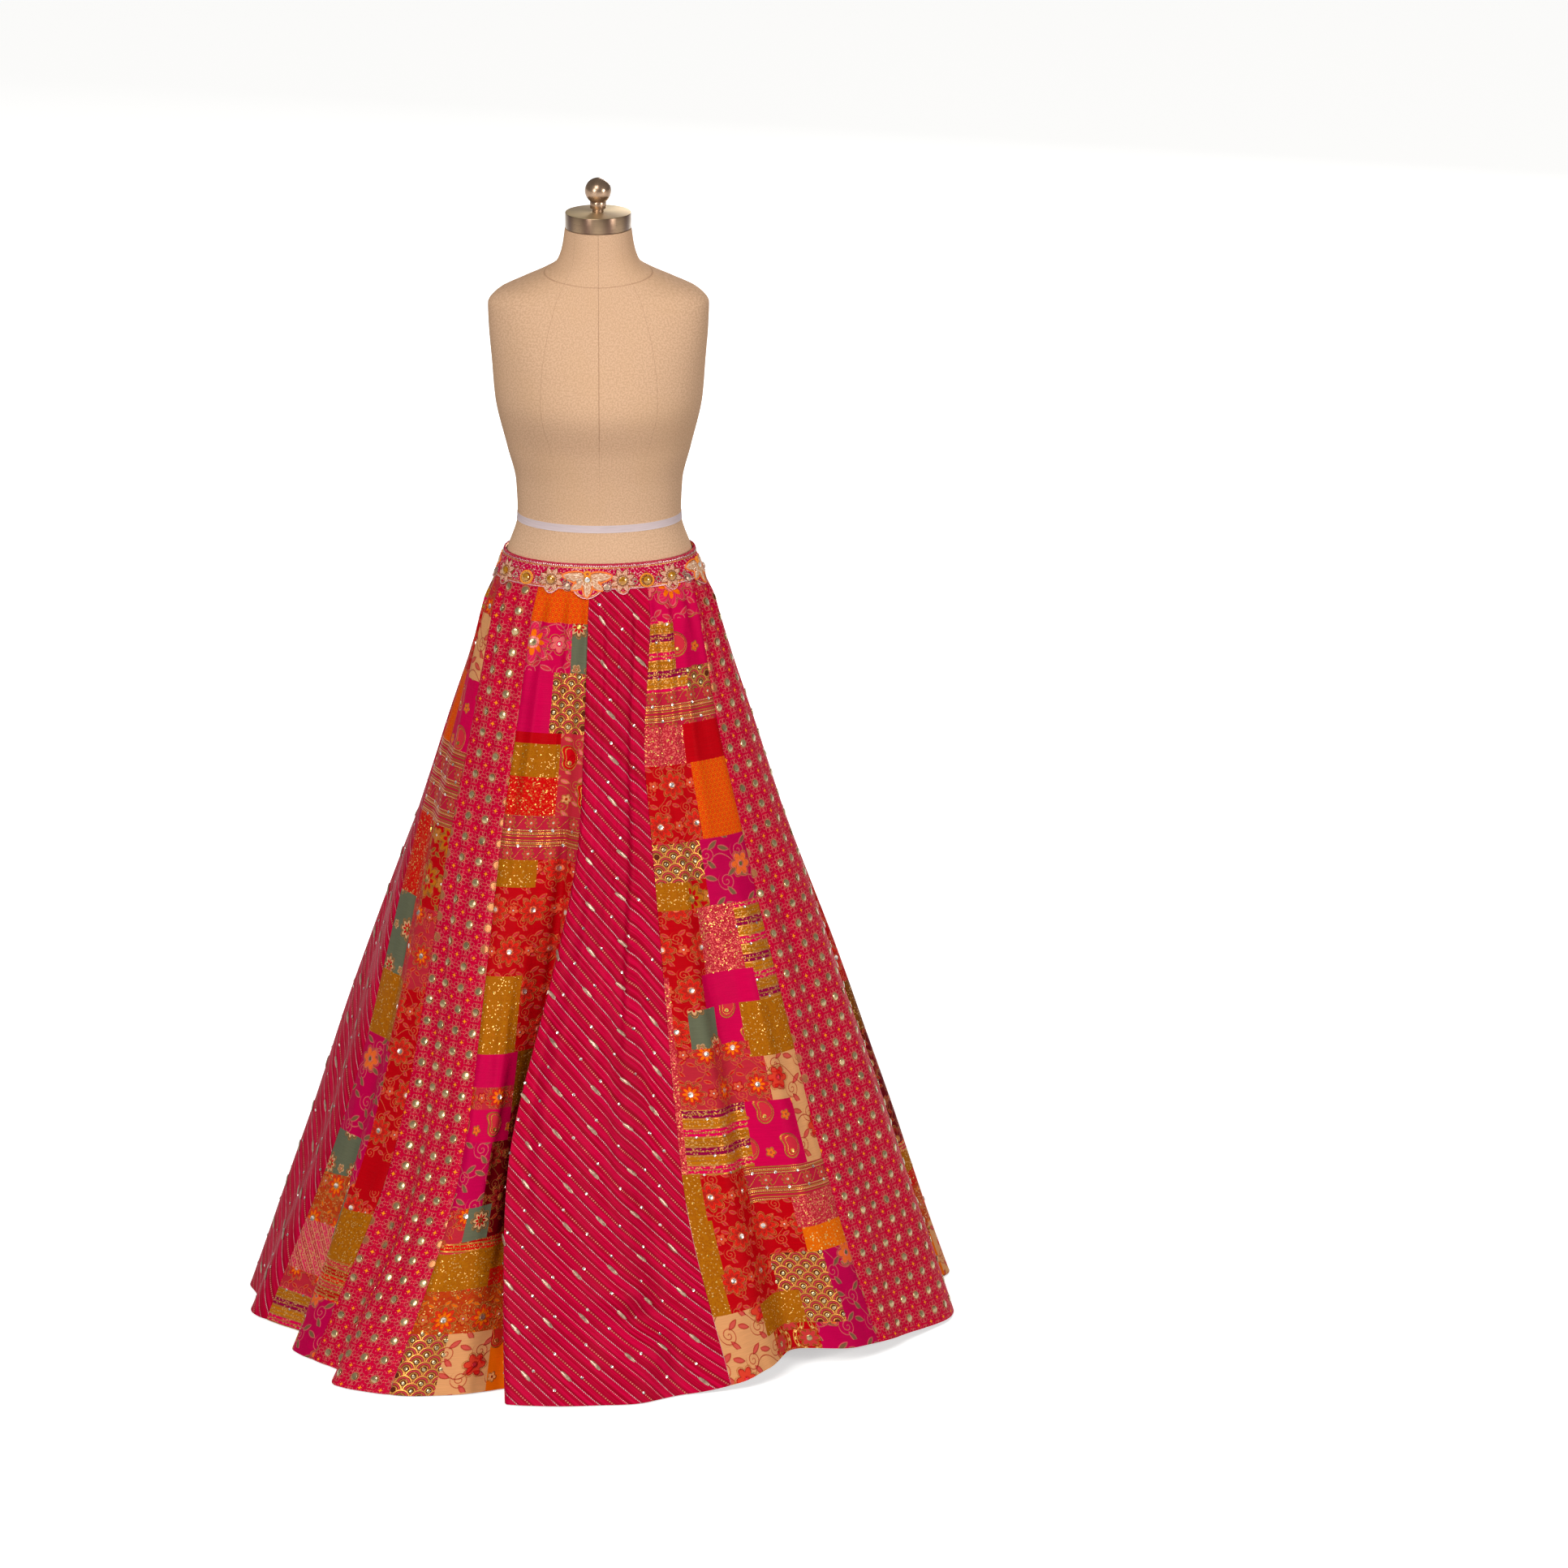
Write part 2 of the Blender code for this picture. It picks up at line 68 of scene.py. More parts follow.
def towards(place, target):
    """Camera and lamp angles that look from a place at a target."""
    look = np.array(target) - np.array(place)
    pitch = math.pi / 2 + math.atan2(look[2], math.hypot(look[0], look[1]))
    return (pitch, 0.0, -math.atan2(look[0], look[1]))


def add_camera():
    place = AXIS + np.array([0.0, -VIEW_DISTANCE, VIEW_HEIGHT])
    bpy.ops.object.camera_add(location=place, rotation=towards(place, AXIS + np.array(AIM)))
    camera = bpy.context.object
    camera.name = "catalogue_camera"
    camera.data.lens = LENS
    camera.data.sensor_width = 36.0
    camera.data.clip_end = 100.0
    bpy.context.scene.camera = camera


add_camera()

# %% Colours by their screen values


def paint(red, green, blue):
    """A linear colour from the 0 to 255 values that a screen shows."""
    shares = np.array([red, green, blue]) / 255
    linear = np.where(shares <= 0.04045, shares / 12.92, ((shares + 0.055) / 1.055) ** 2.4)
    return (*(float(share) for share in linear), 1.0)


# %% Floor
FLOOR_SIZE = 90.0
FLOOR_DROP = 0.0012
FLOOR_GLOW = 0.52


def lone_selection():
    """Leaves nothing selected, in object mode."""
    if bpy.context.mode != "OBJECT":
        bpy.ops.object.mode_set(mode="OBJECT")
    bpy.ops.object.select_all(action="DESELECT")


def add_floor():
    lone_selection()
    bpy.ops.mesh.primitive_plane_add(size=FLOOR_SIZE, location=(0.0, 0.0, -FLOOR_DROP))
    floor = bpy.context.object
    floor.name = "pale_floor"
    bpy.ops.object.transform_apply(location=True, rotation=True, scale=True)
    look = bpy.data.materials.new("floor_paper")
    look.use_nodes = True
    shader = look.node_tree.nodes["Principled BSDF"]
    shader.inputs["Base Color"].default_value = paint(249, 248, 246)
    shader.inputs["Roughness"].default_value = 0.9
    shader.inputs["Specular IOR Level"].default_value = 0.1
    shader.inputs["Emission Color"].default_value = paint(255, 255, 254)
    shader.inputs["Emission Strength"].default_value = FLOOR_GLOW
    floor.data.materials.append(look)
    floor.visible_diffuse = False


add_floor()

# %% [markdown]
# Studio light is soft. A lamp in front and to the left models the folds, one on the right opens their
# shadows, one behind rims the edges, and a wide sun stands for light thrown back by a white ceiling. The
# white world fills the rest. The screen colours are kept as they are mixed, because the silk's hot pink
# has to stay pure.

# %% Lights
# Lamp: its place, where it points, how wide it is, its power in watts
LAMPS = (
    ("front_lamp", (-3.6, -5.8, 3.0), (0.0, 0.0, 0.6), 1.5, 205.0),
    ("side_lamp", (5.4, -4.4, 2.4), (0.1, 0.0, 0.6), 1.6, 230.0),
    ("back_lamp", (1.8, 6.0, 3.0), (0.0, 0.0, 0.8), 2.6, 170.0),
)
SUN_PLACE = (-2.0, -6.5, 6.4)
SUN_TARGET = (0.0, 0.0, 0.5)
SUN_POWER = 1.30
SUN_WIDTH = 24
WORLD_LIGHT = 0.17


def add_lamps():
    for name, place, target, size, power in LAMPS:
        bpy.ops.object.light_add(type="AREA", location=place, rotation=towards(place, target))
        lamp = bpy.context.object
        lamp.name = name
        lamp.data.size = size
        lamp.data.energy = power
    bpy.ops.object.light_add(type="SUN", location=SUN_PLACE, rotation=towards(SUN_PLACE, SUN_TARGET))
    sun = bpy.context.object
    sun.name = "ceiling_bounce"
    sun.data.energy = SUN_POWER
    sun.data.angle = math.radians(SUN_WIDTH)
    world = bpy.data.worlds.new("white_studio")
    world.use_nodes = True
    world.node_tree.nodes["Background"].inputs["Color"].default_value = (1.0, 1.0, 1.0, 1.0)
    world.node_tree.nodes["Background"].inputs["Strength"].default_value = WORLD_LIGHT
    bpy.context.scene.world = world
    bpy.context.scene.view_settings.view_transform = "Standard"


add_lamps()

# %% [markdown]
# The skirt's shape comes from the cloth itself. Each point of the cloth has a place along the waist,
# counted in kalis, and a height. A table gives the angle of every seam at the waist, hip, knee and hem,
# and another gives every ridge and valley, so the whole drape is one smooth function. The same function
# made the CAD panels, so the fine panels of this lesson lie where the CAD panels are.

# %% Heights, seams and folds
WAISTBAND_TOP = 1.086
WAISTBAND_BOTTOM = 1.0505
CLOTH_TOP = 1.0852
HIP = 0.80
KNEE = 0.30
LEVELS = (WAISTBAND_BOTTOM, HIP, KNEE, 0.0)
CLOTH_WALL = 0.002
BODY_GAP = 0.0006
SEAM_GAP = 0.0003
HEM_HALF_WIDTH = 0.487
HEM_FRONT = 0.446
HEM_BACK = 0.462
# Each kali's left edge, seen from outside: node, its angle at the waist, hip, knee and hem in degrees
KALIS = (
    ("kali_00", -8.0, -8.0, -20.5, -16.5),
    ("kali_01", 36.5, 19.5, 18.7, 22.4),
    ("kali_02", 68.0, 57.0, 52.0, 56.0),
    ("kali_03", 96.0, 90.0, 88.0, 88.0),
    ("kali_04", 123.0, 120.0, 120.0, 120.0),
    ("kali_05", 149.0, 149.0, 151.0, 152.0),
    ("kali_06", 175.0, 179.0, 183.0, 184.0),
    ("kali_07", 202.0, 209.0, 215.0, 216.0),
    ("kali_08", 228.0, 239.0, 247.0, 248.0),
    ("kali_09", 256.0, 270.0, 281.0, 280.0),
    ("kali_10", 284.0, 297.0, 309.5, 304.0),
    ("kali_11", 314.0, 321.0, 329.0, 325.0),
)

# Each ridge or valley: its angle at the hem, how far it stands out at the hip, knee and hem, how far it leans
# towards +angle at the knee and hem, and how high its hem hangs over the floor.
FOLDS = (
    (-85.0, 0.000, -0.016, 0.006, 0.000, 0.000, 0.000),
    (-71.0, -0.006, -0.034, -0.045, 0.008, 0.012, 0.000),
    (-60.0, 0.000, -0.002, 0.006, -0.012, -0.016, 0.000),
    (-51.0, 0.000, -0.012, 0.008, 0.006, 0.008, 0.000),
    (-43.0, 0.002, 0.012, 0.062, -0.004, -0.010, 0.000),
    (-34.0, 0.003, 0.016, 0.048, 0.000, 0.000, 0.000),
    (-26.0, -0.002, -0.014, 0.010, 0.004, 0.006, 0.000),
    (-19.5, -0.010, -0.058, -0.034, 0.014, 0.014, 0.000),
    (-14.5, 0.003, 0.014, 0.031, -0.012, -0.010, 0.000),
    (-5.0, 0.002, 0.012, 0.025, 0.000, 0.000, 0.000),
    (5.0, 0.003, 0.013, 0.018, 0.000, 0.000, 0.000),
    (15.5, -0.005, -0.024, -0.012, 0.000, 0.000, 0.001),
    (24.0, 0.000, -0.004, -0.004, -0.004, 0.006, 0.012),
    (31.0, 0.002, 0.008, -0.016, 0.000, 0.000, 0.022),
    (39.0, 0.000, -0.010, -0.052, 0.000, 0.004, 0.029),
    (50.0, 0.001, 0.010, -0.014, 0.000, 0.000, 0.024),
    (64.0, 0.000, 0.002, -0.016, 0.000, 0.000, 0.012),
    (81.0, 0.003, 0.008, 0.008, 0.000, 0.000, 0.002),
    (95.0, -0.004, -0.018, -0.026, 0.006, 0.008, 0.000),
    (106.0, 0.002, 0.012, 0.018, -0.010, -0.012, 0.000),
    (121.0, -0.008, -0.030, -0.036, 0.004, 0.006, 0.000),
    (134.0, 0.003, 0.014, 0.024, 0.006, 0.008, 0.000),
    (145.0, 0.000, -0.008, -0.016, 0.000, 0.000, 0.000),
    (157.0, 0.002, 0.012, 0.022, 0.000, 0.000, 0.000),
    (171.0, -0.010, -0.034, -0.030, -0.010, -0.010, 0.000),
    (181.0, 0.004, 0.016, 0.024, 0.012, 0.012, 0.000),
    (197.0, 0.000, -0.010, -0.014, 0.000, 0.000, 0.004),
    (209.0, 0.002, 0.014, 0.018, 0.000, 0.000, 0.002),
    (222.0, -0.008, -0.028, -0.034, 0.006, 0.008, 0.000),
    (234.0, 0.002, 0.012, 0.024, -0.008, -0.010, 0.000),
    (248.0, -0.003, -0.018, -0.026, 0.000, 0.000, 0.000),
    (261.0, 0.002, 0.008, 0.014, 0.000, 0.000, 0.000),
    (268.0, 0.000, -0.008, -0.004, 0.000, 0.000, 0.000),
)
LIFT_REACH = 0.35

# Waist gathers: shallow flutes from the waistband's edge, which die out below it
GATHERS_PER_KALI = 3
GATHER_HEIGHT = 0.0060
GATHER_FULL = 1.015
GATHER_END = 0.86

# The form's body: height, half width, depth of its front and of its back from the pole's axis
BODY_SECTIONS = (
    (0.870, 0.148, 0.096, 0.112),
    (0.900, 0.160, 0.102, 0.120),
    (0.940, 0.162, 0.104, 0.121),
    (0.990, 0.155, 0.102, 0.117),
    (1.040, 0.1425, 0.0985, 0.107),
    (1.086, 0.126, 0.093, 0.096),
    (1.134, 0.112, 0.086, 0.086),
    (1.180, 0.114, 0.090, 0.086),
    (1.230, 0.126, 0.100, 0.092),
    (1.300, 0.142, 0.122, 0.100),
    (1.350, 0.146, 0.112, 0.104),
    (1.400, 0.150, 0.092, 0.102),
    (1.430, 0.151, 0.077, 0.096),
    (1.446, 0.139, 0.070, 0.090),
    (1.460, 0.110, 0.062, 0.082),
    (1.475, 0.076, 0.055, 0.068),
    (1.487, 0.057, 0.050, 0.058),
    (1.510, 0.049, 0.047, 0.050),
    (1.5337, 0.0455, 0.0455, 0.0455),
)

# %% The smooth drape


def hermite(start, start_slope, end, end_slope, step):
    """A cubic from start to end, with slopes given per whole step."""
    square = step * step
    cube = square * step
    return (
        start * (2 * cube - 3 * square + 1)
        + start_slope * (cube - 2 * square + step)
        + end * (3 * square - 2 * cube)
        + end_slope * (cube - square)
    )


def level_slopes(rates):
    """Slopes at the places between steps of these rates, level at each highest and lowest one."""
    same_way = rates[:-1] * rates[1:] > 0
    total = np.where(same_way, rates[:-1] + rates[1:], 1.0)
    inner = np.where(same_way, 2 * rates[:-1] * rates[1:] / total, 0.0)
    return np.concatenate([rates[:1], inner, rates[-1:]])


def smooth_through(places, values, where):
    """A curve through values at places that is level at each highest and lowest one."""
    gaps = np.diff(places)
    slopes = level_slopes(np.diff(values) / gaps)
    span = np.clip(np.searchsorted(places, where, side="right") - 1, 0, len(gaps) - 1)
    step = (where - places[span]) / gaps[span]
    return hermite(
        values[span], slopes[span] * gaps[span], values[span + 1], slopes[span + 1] * gaps[span], step
    )


def around(table, column, angle):
    """One column of a table of angles, as a smooth closed curve."""
    rows = np.array(table, float)
    places = np.concatenate([rows[:, 0] - 360, rows[:, 0], rows[:, 0] + 360])
    values = np.tile(rows[:, column], 3)
    return smooth_through(places, values, np.mod(angle + 180, 360) - 180)


def oval(angle, half_width, front, back):
    """Radius at an angle from the front centre."""
    sine = np.sin(np.radians(angle))
    cosine = np.cos(np.radians(angle))
    depth = np.where(cosine > 0, front, back)
    return 1 / np.sqrt((sine / half_width) ** 2 + (cosine / depth) ** 2)


def body_radius(angle, height):
    rows = np.array(BODY_SECTIONS)
    sizes = [smooth_through(rows[:, 0], rows[:, column], height) for column in (1, 2, 3)]
    return oval(angle, *sizes)


def down_the_cloth(height, *values):
    """A smooth run through values given at the waistband, hip, knee and hem."""
    drops = -np.array(LEVELS)
    values = np.stack(np.broadcast_arrays(*values, height)[:-1])
    gaps = np.diff(drops)
    slopes = level_slopes(np.diff(values, axis=0) / gaps.reshape(-1, *[1] * (values.ndim - 1)))
    drop = np.broadcast_to(-np.minimum(height, WAISTBAND_BOTTOM), values.shape[1:])
    span = np.clip(np.searchsorted(drops, drop, side="right") - 1, 0, len(gaps) - 1)
    start, end, start_slope, end_slope = (
        np.take_along_axis(source, (span + more)[None], axis=0)[0]
        for source, more in ((values, 0), (values, 1), (slopes, 0), (slopes, 1))
    )
    gap = gaps[span]
    return hermite(start, start_slope * gap, end, end_slope * gap, (drop - drops[span]) / gap)


def gather_height(height):
    """How far the waist gathers stand out at most, none under the waistband."""
    grow = np.clip((WAISTBAND_BOTTOM - height) / (WAISTBAND_BOTTOM - GATHER_FULL), 0, 1)
    fade = np.clip((height - GATHER_END) / (GATHER_FULL - GATHER_END), 0, 1)
    return GATHER_HEIGHT * grow * fade**1.5


def turned(angle, radius, sideways, height):
    """Points at an angle and radius, shifted sideways."""
    sine = np.sin(np.radians(angle))
    cosine = np.cos(np.radians(angle))
    x = radius * sine + sideways * cosine
    y = -radius * cosine + sideways * sine
    return np.stack(np.broadcast_arrays(x, y, height), -1)


def cloth_by_angle(hem_angle, angle, height):
    """The cloth's outer face, before the gathers, where the cloth of a hem angle hangs at an angle."""
    descent = np.clip((WAISTBAND_BOTTOM - height) / WAISTBAND_BOTTOM, 0, 1)
    waist = body_radius(angle, np.maximum(height, WAISTBAND_BOTTOM)) + BODY_GAP + CLOTH_WALL
    hem = oval(angle, HEM_HALF_WIDTH, HEM_FRONT, HEM_BACK)
    hip_out, knee_out, hem_out, knee_side, hem_side, lift = (
        around(FOLDS, column, hem_angle) for column in range(1, 7)
    )
    radius = waist + (hem - waist) * descent + down_the_cloth(height, 0.0, hip_out, knee_out, hem_out)
    sideways = down_the_cloth(height, 0.0, 0.0, knee_side, hem_side)
    low = np.clip(1 - height / LIFT_REACH, 0, 1)
    return turned(angle, radius, sideways, height + lift * low**2)


def hem_angles():
    """Hem angle against place along the cloth, where each kali is 1 long and its width is spread evenly."""
    edges = [row[4] for row in KALIS] + [KALIS[0][4] + 360]
    places, angles = [], []
    for index, (left, right) in enumerate(zip(edges, edges[1:])):
        fine = np.linspace(left, right, 241)
        points = cloth_by_angle(fine, fine, np.full(241, KNEE / 2))
        length = np.concatenate([[0], np.cumsum(np.linalg.norm(np.diff(points, axis=0), axis=1))])
        places.append(index + length[:-1] / length[-1])
        angles.append(fine[:-1])
    return np.concatenate(places + [[len(KALIS)]]), np.concatenate(angles + [[edges[-1]]])


HEM_PLACES, HEM_ANGLES = hem_angles()


def edge_angle(column, place):
    """The angle at one level, spread evenly between the kalis' edges."""
    edges = [row[column] for row in KALIS] + [KALIS[0][column] + 360]
    return np.interp(place, np.arange(len(edges)), edges)


def cloth(place, height):
    """The cloth's outer face at a place along it, counted in kalis from the first one's left edge."""
    turns = np.floor(place / len(KALIS))
    rest = place - turns * len(KALIS)
    hem_angle = np.interp(rest, HEM_PLACES, HEM_ANGLES)
    knee_angle = hem_angle + edge_angle(3, rest) - edge_angle(4, rest)
    angle = down_the_cloth(height, edge_angle(1, rest), edge_angle(2, rest), knee_angle, hem_angle)
    points = cloth_by_angle(hem_angle, angle, height)
    uneven = 0.8 + 0.2 * np.sin(5 * place)
    flute = uneven * (0.5 + 0.5 * np.cos(2 * np.pi * GATHERS_PER_KALI * place)) * gather_height(height)
    out = points[..., :2] / np.linalg.norm(points[..., :2], axis=-1, keepdims=True)
    points[..., :2] += out * flute[..., None]
    return points


def unit(vectors):
    return vectors / np.linalg.norm(vectors, axis=-1, keepdims=True)


def directions(surface, place, height, step, rise):
    """A surface's sideways direction and its outward normal."""
    sideways = unit(surface(place + step, height) - surface(place - step, height))
    upwards = surface(place, height + rise) - surface(place, np.maximum(height - rise, 0.0))
    return sideways, unit(np.cross(sideways, upwards))

# %% [markdown]
# Real silk isn't as smooth as the CAD wall. Creases run down from the waist, the wide front panel breaks
# just above the hem, and each seam pulls the cloth in a little. They are small hollows and ridges laid
# over the drape, each with its place, its height and its size, and a faint wandering of the whole cloth.

# %% Creases of the cloth
# Place along the waist, height, reach along the waist in kalis, reach down, how far it stands out, lean
CREASES = (
    (0.22, 0.86, 0.07, 0.22, -0.0022, -0.15),
    (0.55, 0.90, 0.06, 0.16, 0.0018, 0.05),
    (0.80, 0.82, 0.06, 0.20, -0.0020, 0.10),
    (0.30, 0.52, 0.07, 0.22, 0.0030, -0.25),
    (0.62, 0.42, 0.08, 0.24, -0.0032, 0.10),
    (0.84, 0.38, 0.06, 0.22, 0.0030, 0.20),
    (0.42, 0.20, 0.07, 0.15, -0.0034, 0.15),
    (0.66, 0.105, 0.18, 0.022, -0.0042, 0.00),
    (0.60, 0.135, 0.16, 0.020, 0.0030, 0.00),
    (0.50, 0.66, 0.045, 0.20, -0.0026, -0.30),
    (0.74, 0.56, 0.045, 0.18, -0.0026, -0.24),
    (0.16, 0.34, 0.045, 0.20, -0.0024, 0.12),
    (0.86, 0.22, 0.040, 0.12, -0.0026, 0.10),
    (11.78, 0.46, 0.060, 0.30, -0.0044, 0.00),
    (11.72, 0.20, 0.070, 0.20, -0.0044, 0.00),
    (0.72, 0.060, 0.10, 0.030, 0.0040, 0.00),
    (0.30, 0.070, 0.12, 0.020, -0.0025, 0.00),
    (1.25, 0.90, 0.07, 0.16, -0.0020, 0.05),
    (1.60, 0.86, 0.07, 0.18, 0.0020, 0.08),
    (1.22, 0.46, 0.07, 0.22, 0.0030, 0.10),
    (1.46, 0.30, 0.09, 0.18, -0.0040, 0.18),
    (1.74, 0.34, 0.07, 0.20, 0.0032, 0.10),
    (1.62, 0.12, 0.12, 0.050, -0.0035, 0.00),
    (2.30, 0.50, 0.10, 0.26, -0.0024, 0.10),
    (2.66, 0.30, 0.10, 0.22, 0.0026, 0.10),
    (9.30, 0.46, 0.08, 0.24, -0.0030, -0.15),
    (9.68, 0.30, 0.09, 0.20, 0.0034, -0.10),
    (10.34, 0.48, 0.08, 0.24, 0.0036, -0.15),
    (10.62, 0.24, 0.09, 0.20, -0.0040, -0.10),
    (10.20, 0.16, 0.08, 0.14, -0.0030, -0.10),
    (11.24, 0.86, 0.07, 0.20, 0.0022, -0.08),
    (11.55, 0.80, 0.06, 0.22, -0.0024, -0.08),
    (11.30, 0.42, 0.08, 0.22, 0.0034, -0.15),
    (11.62, 0.26, 0.08, 0.20, -0.0034, -0.10),
    (3.40, 0.44, 0.10, 0.24, 0.0030, 0.10),
    (4.35, 0.50, 0.09, 0.26, -0.0032, -0.08),
    (4.70, 0.26, 0.09, 0.20, 0.0034, 0.08),
    (5.45, 0.40, 0.10, 0.24, 0.0030, 0.10),
    (6.30, 0.46, 0.09, 0.26, -0.0034, 0.10),
    (6.70, 0.24, 0.09, 0.18, 0.0032, -0.10),
    (7.50, 0.36, 0.10, 0.24, -0.0030, 0.10),
    (8.35, 0.46, 0.09, 0.24, 0.0030, -0.10),
    (8.70, 0.24, 0.10, 0.18, -0.0032, 0.08),
)
CREASE_DEPTH = 2.1
SEAM_PINCH = 0.0012
WANDER = 0.0009
# The outer face of the hem rests this high, so that the wall under it just meets the floor
HEM_REST = 0.0007


def relief(place, height):
    """How far the cloth stands off its smooth drape."""
    raised = np.zeros(np.broadcast(place, height).shape)
    for middle, level, reach, drop, out, lean in CREASES:
        away = np.mod(place - middle - lean * (level - height) + 6, 12) - 6
        raised = raised + CREASE_DEPTH * out * np.exp(-((away / reach) ** 2) - ((height - level) / drop) ** 2)
    wave = np.sin(7.3 * place + 9.1 * height) * np.sin(3.1 * place - 14.7 * height + 1.3)
    ripple = np.sin(23.0 * place + 4.0 * height + 0.7) * np.sin(17.0 * height + 2.0 * place)
    raised = raised + WANDER * (wave + 0.7 * ripple)
    near_seam = np.abs(place - np.round(place))
    raised = raised - SEAM_PINCH * np.exp(-((near_seam / 0.025) ** 2))
    return raised * np.clip((WAISTBAND_BOTTOM - 0.004 - height) / 0.06, 0, 1)


def hang(place, height):
    """The outer face of the finished cloth."""
    _, outward = directions(cloth, place, height, 0.02, 0.004)
    points = cloth(place, height) + outward * relief(place, height)[..., None] + AXIS
    points[..., 2] = np.maximum(points[..., 2], HEM_REST)
    return points


def seat(place, height):
    """Points on the cloth with their sideways, upward and outward directions."""
    sideways, outward = directions(hang, place, height, 0.01, 0.003)
    return hang(place, height), sideways, np.cross(outward, sideways), outward


# %% [markdown]
# A pattern on cloth has to follow the cloth, so each panel gets a map called cloth, measured in metres on
# the flat cut piece: u runs across the panel from its middle line and v runs down from the waist, as a
# negative number. A panel's width at each height and its length are measured on the drape itself.

# %% Flat measures of every panel
LOOK_UP = np.linspace(0.0, 1.0, 61)


def measure_panel(index):
    """The panel's width and the length from its top, at shares of its height."""
    height = CLOTH_TOP * (1 - LOOK_UP)
    across = np.linspace(0.0, 1.0, 41)
    place, level = np.meshgrid(index + across, height)
    rows = cloth(place, level)
    widths = np.linalg.norm(np.diff(rows, axis=1), axis=2).sum(axis=1)
    middle = rows[:, 20]
    drops = np.concatenate([[0.0], np.cumsum(np.linalg.norm(np.diff(middle, axis=0), axis=1))])
    return widths, drops


MEASURES = [measure_panel(index) for index in range(12)]


def to_flat(index, across, down):
    """Metres on the flat piece, from shares across and down it."""
    widths, drops = MEASURES[index]
    return (across - 0.5) * np.interp(down, LOOK_UP, widths), -np.interp(down, LOOK_UP, drops)


def from_flat(index, u, v):
    """Shares across and down the panel, from metres on the flat piece."""
    widths, drops = MEASURES[index]
    down = np.interp(-v, drops, LOOK_UP)
    return u / np.interp(down, LOOK_UP, widths) + 0.5, down


for number, (panel_widths, panel_drops) in enumerate(MEASURES):
    print(f"kali_{number:02d}: {panel_widths[0]:.3f} m at the waist, {panel_widths[-1]:.3f} m at the hem,",
          f"{panel_drops[-1]:.3f} m long")

# %% [markdown]
# Every cloth here is a small program of material nodes. Writing each Math node by hand would fill pages,
# so Thread wraps one socket and lets plain Python arithmetic add the nodes. A Cloth starts with plain
# slubbed silk and then takes stitched layers: each has a mask, a colour, and how high it stands, and it
# may shine as metal thread does.

# %% Arithmetic that makes nodes


def math_node(tree, operation, values):
    """One Math node of numbers and Threads."""
    node = tree.nodes.new("ShaderNodeMath")
    node.operation = operation
    for slot, value in zip(node.inputs, values):
        if isinstance(value, Thread):
            tree.links.new(value.socket, slot)
        else:
            slot.default_value = float(value)
    return Thread(tree, node.outputs[0])


def worked(operation):
    """A method that adds one Math node after a Thread."""
    return lambda thread, *others: math_node(thread.tree, operation, (thread, *others))


class Thread:
    """A number that a material works out at every point."""

    __add__ = __radd__ = worked("ADD")
    __sub__ = worked("SUBTRACT")
    __mul__ = __rmul__ = worked("MULTIPLY")
    __truediv__ = worked("DIVIDE")
    floor = worked("FLOOR")
    wrap = worked("FLOORED_MODULO")
    size = worked("ABSOLUTE")
    sine = worked("SINE")
    cosine = worked("COSINE")
    power = worked("POWER")
    least = worked("MINIMUM")
    most = worked("MAXIMUM")
    over = worked("GREATER_THAN")

    def __init__(self, tree, socket):
        self.tree = tree
        self.socket = socket

    def __rsub__(self, other):
        return math_node(self.tree, "SUBTRACT", (other, self))

    def inside(self, soft=0.0005):
        """A mask that is 1 where the number is well above 0 and 0 where it is well below."""
        node = self.tree.nodes.new("ShaderNodeMapRange")
        node.interpolation_type = "SMOOTHSTEP"
        self.tree.links.new(self.socket, node.inputs["Value"])
        node.inputs["From Min"].default_value = -soft
        node.inputs["From Max"].default_value = soft
        return Thread(self.tree, node.outputs["Result"])


def distance(x, y):
    return (x * x + y * y).power(0.5)


def direction(x, y):
    return math_node(x.tree, "ARCTAN2", (y, x))


def line(x, width):
    """A mask for a line along x = 0."""
    return (width / 2 - x.size()).inside(0.0004)


# %% Nodes that every material shares


def new_material(name):
    """A material with its tree and its shader."""
    made = bpy.data.materials.new(name)
    made.use_nodes = True
    return made, made.node_tree, made.node_tree.nodes["Principled BSDF"]


def mix_colours(tree, mask, below, above):
    """A colour that goes from below to above as the mask goes from 0 to 1."""
    node = tree.nodes.new("ShaderNodeMix")
    node.data_type = "RGBA"
    tree.links.new(mask, node.inputs["Factor"])
    for slot, value in ((node.inputs[6], below), (node.inputs[7], above)):
        if isinstance(value, tuple):
            slot.default_value = value
        else:
            tree.links.new(value, slot)
    return node.outputs[2]


def spread_roughness(tree, shader, grain, smoothest, roughest):
    """Lets the roughness wander between two values."""
    node = tree.nodes.new("ShaderNodeMapRange")
    node.inputs["To Min"].default_value = smoothest
    node.inputs["To Max"].default_value = roughest
    tree.links.new(grain, node.inputs["Value"])
    tree.links.new(node.outputs[0], shader.inputs["Roughness"])


def emboss(tree, shader, height, strength, metres):
    """Makes a height stand out in the light."""
    node = tree.nodes.new("ShaderNodeBump")
    node.inputs["Strength"].default_value = strength
    node.inputs["Distance"].default_value = metres
    tree.links.new(height, node.inputs["Height"])
    tree.links.new(node.outputs[0], shader.inputs["Normal"])


# %% A cloth and its layers
SLUB_HEIGHT = 0.00016
SOFT_DRAPE = 0.0042


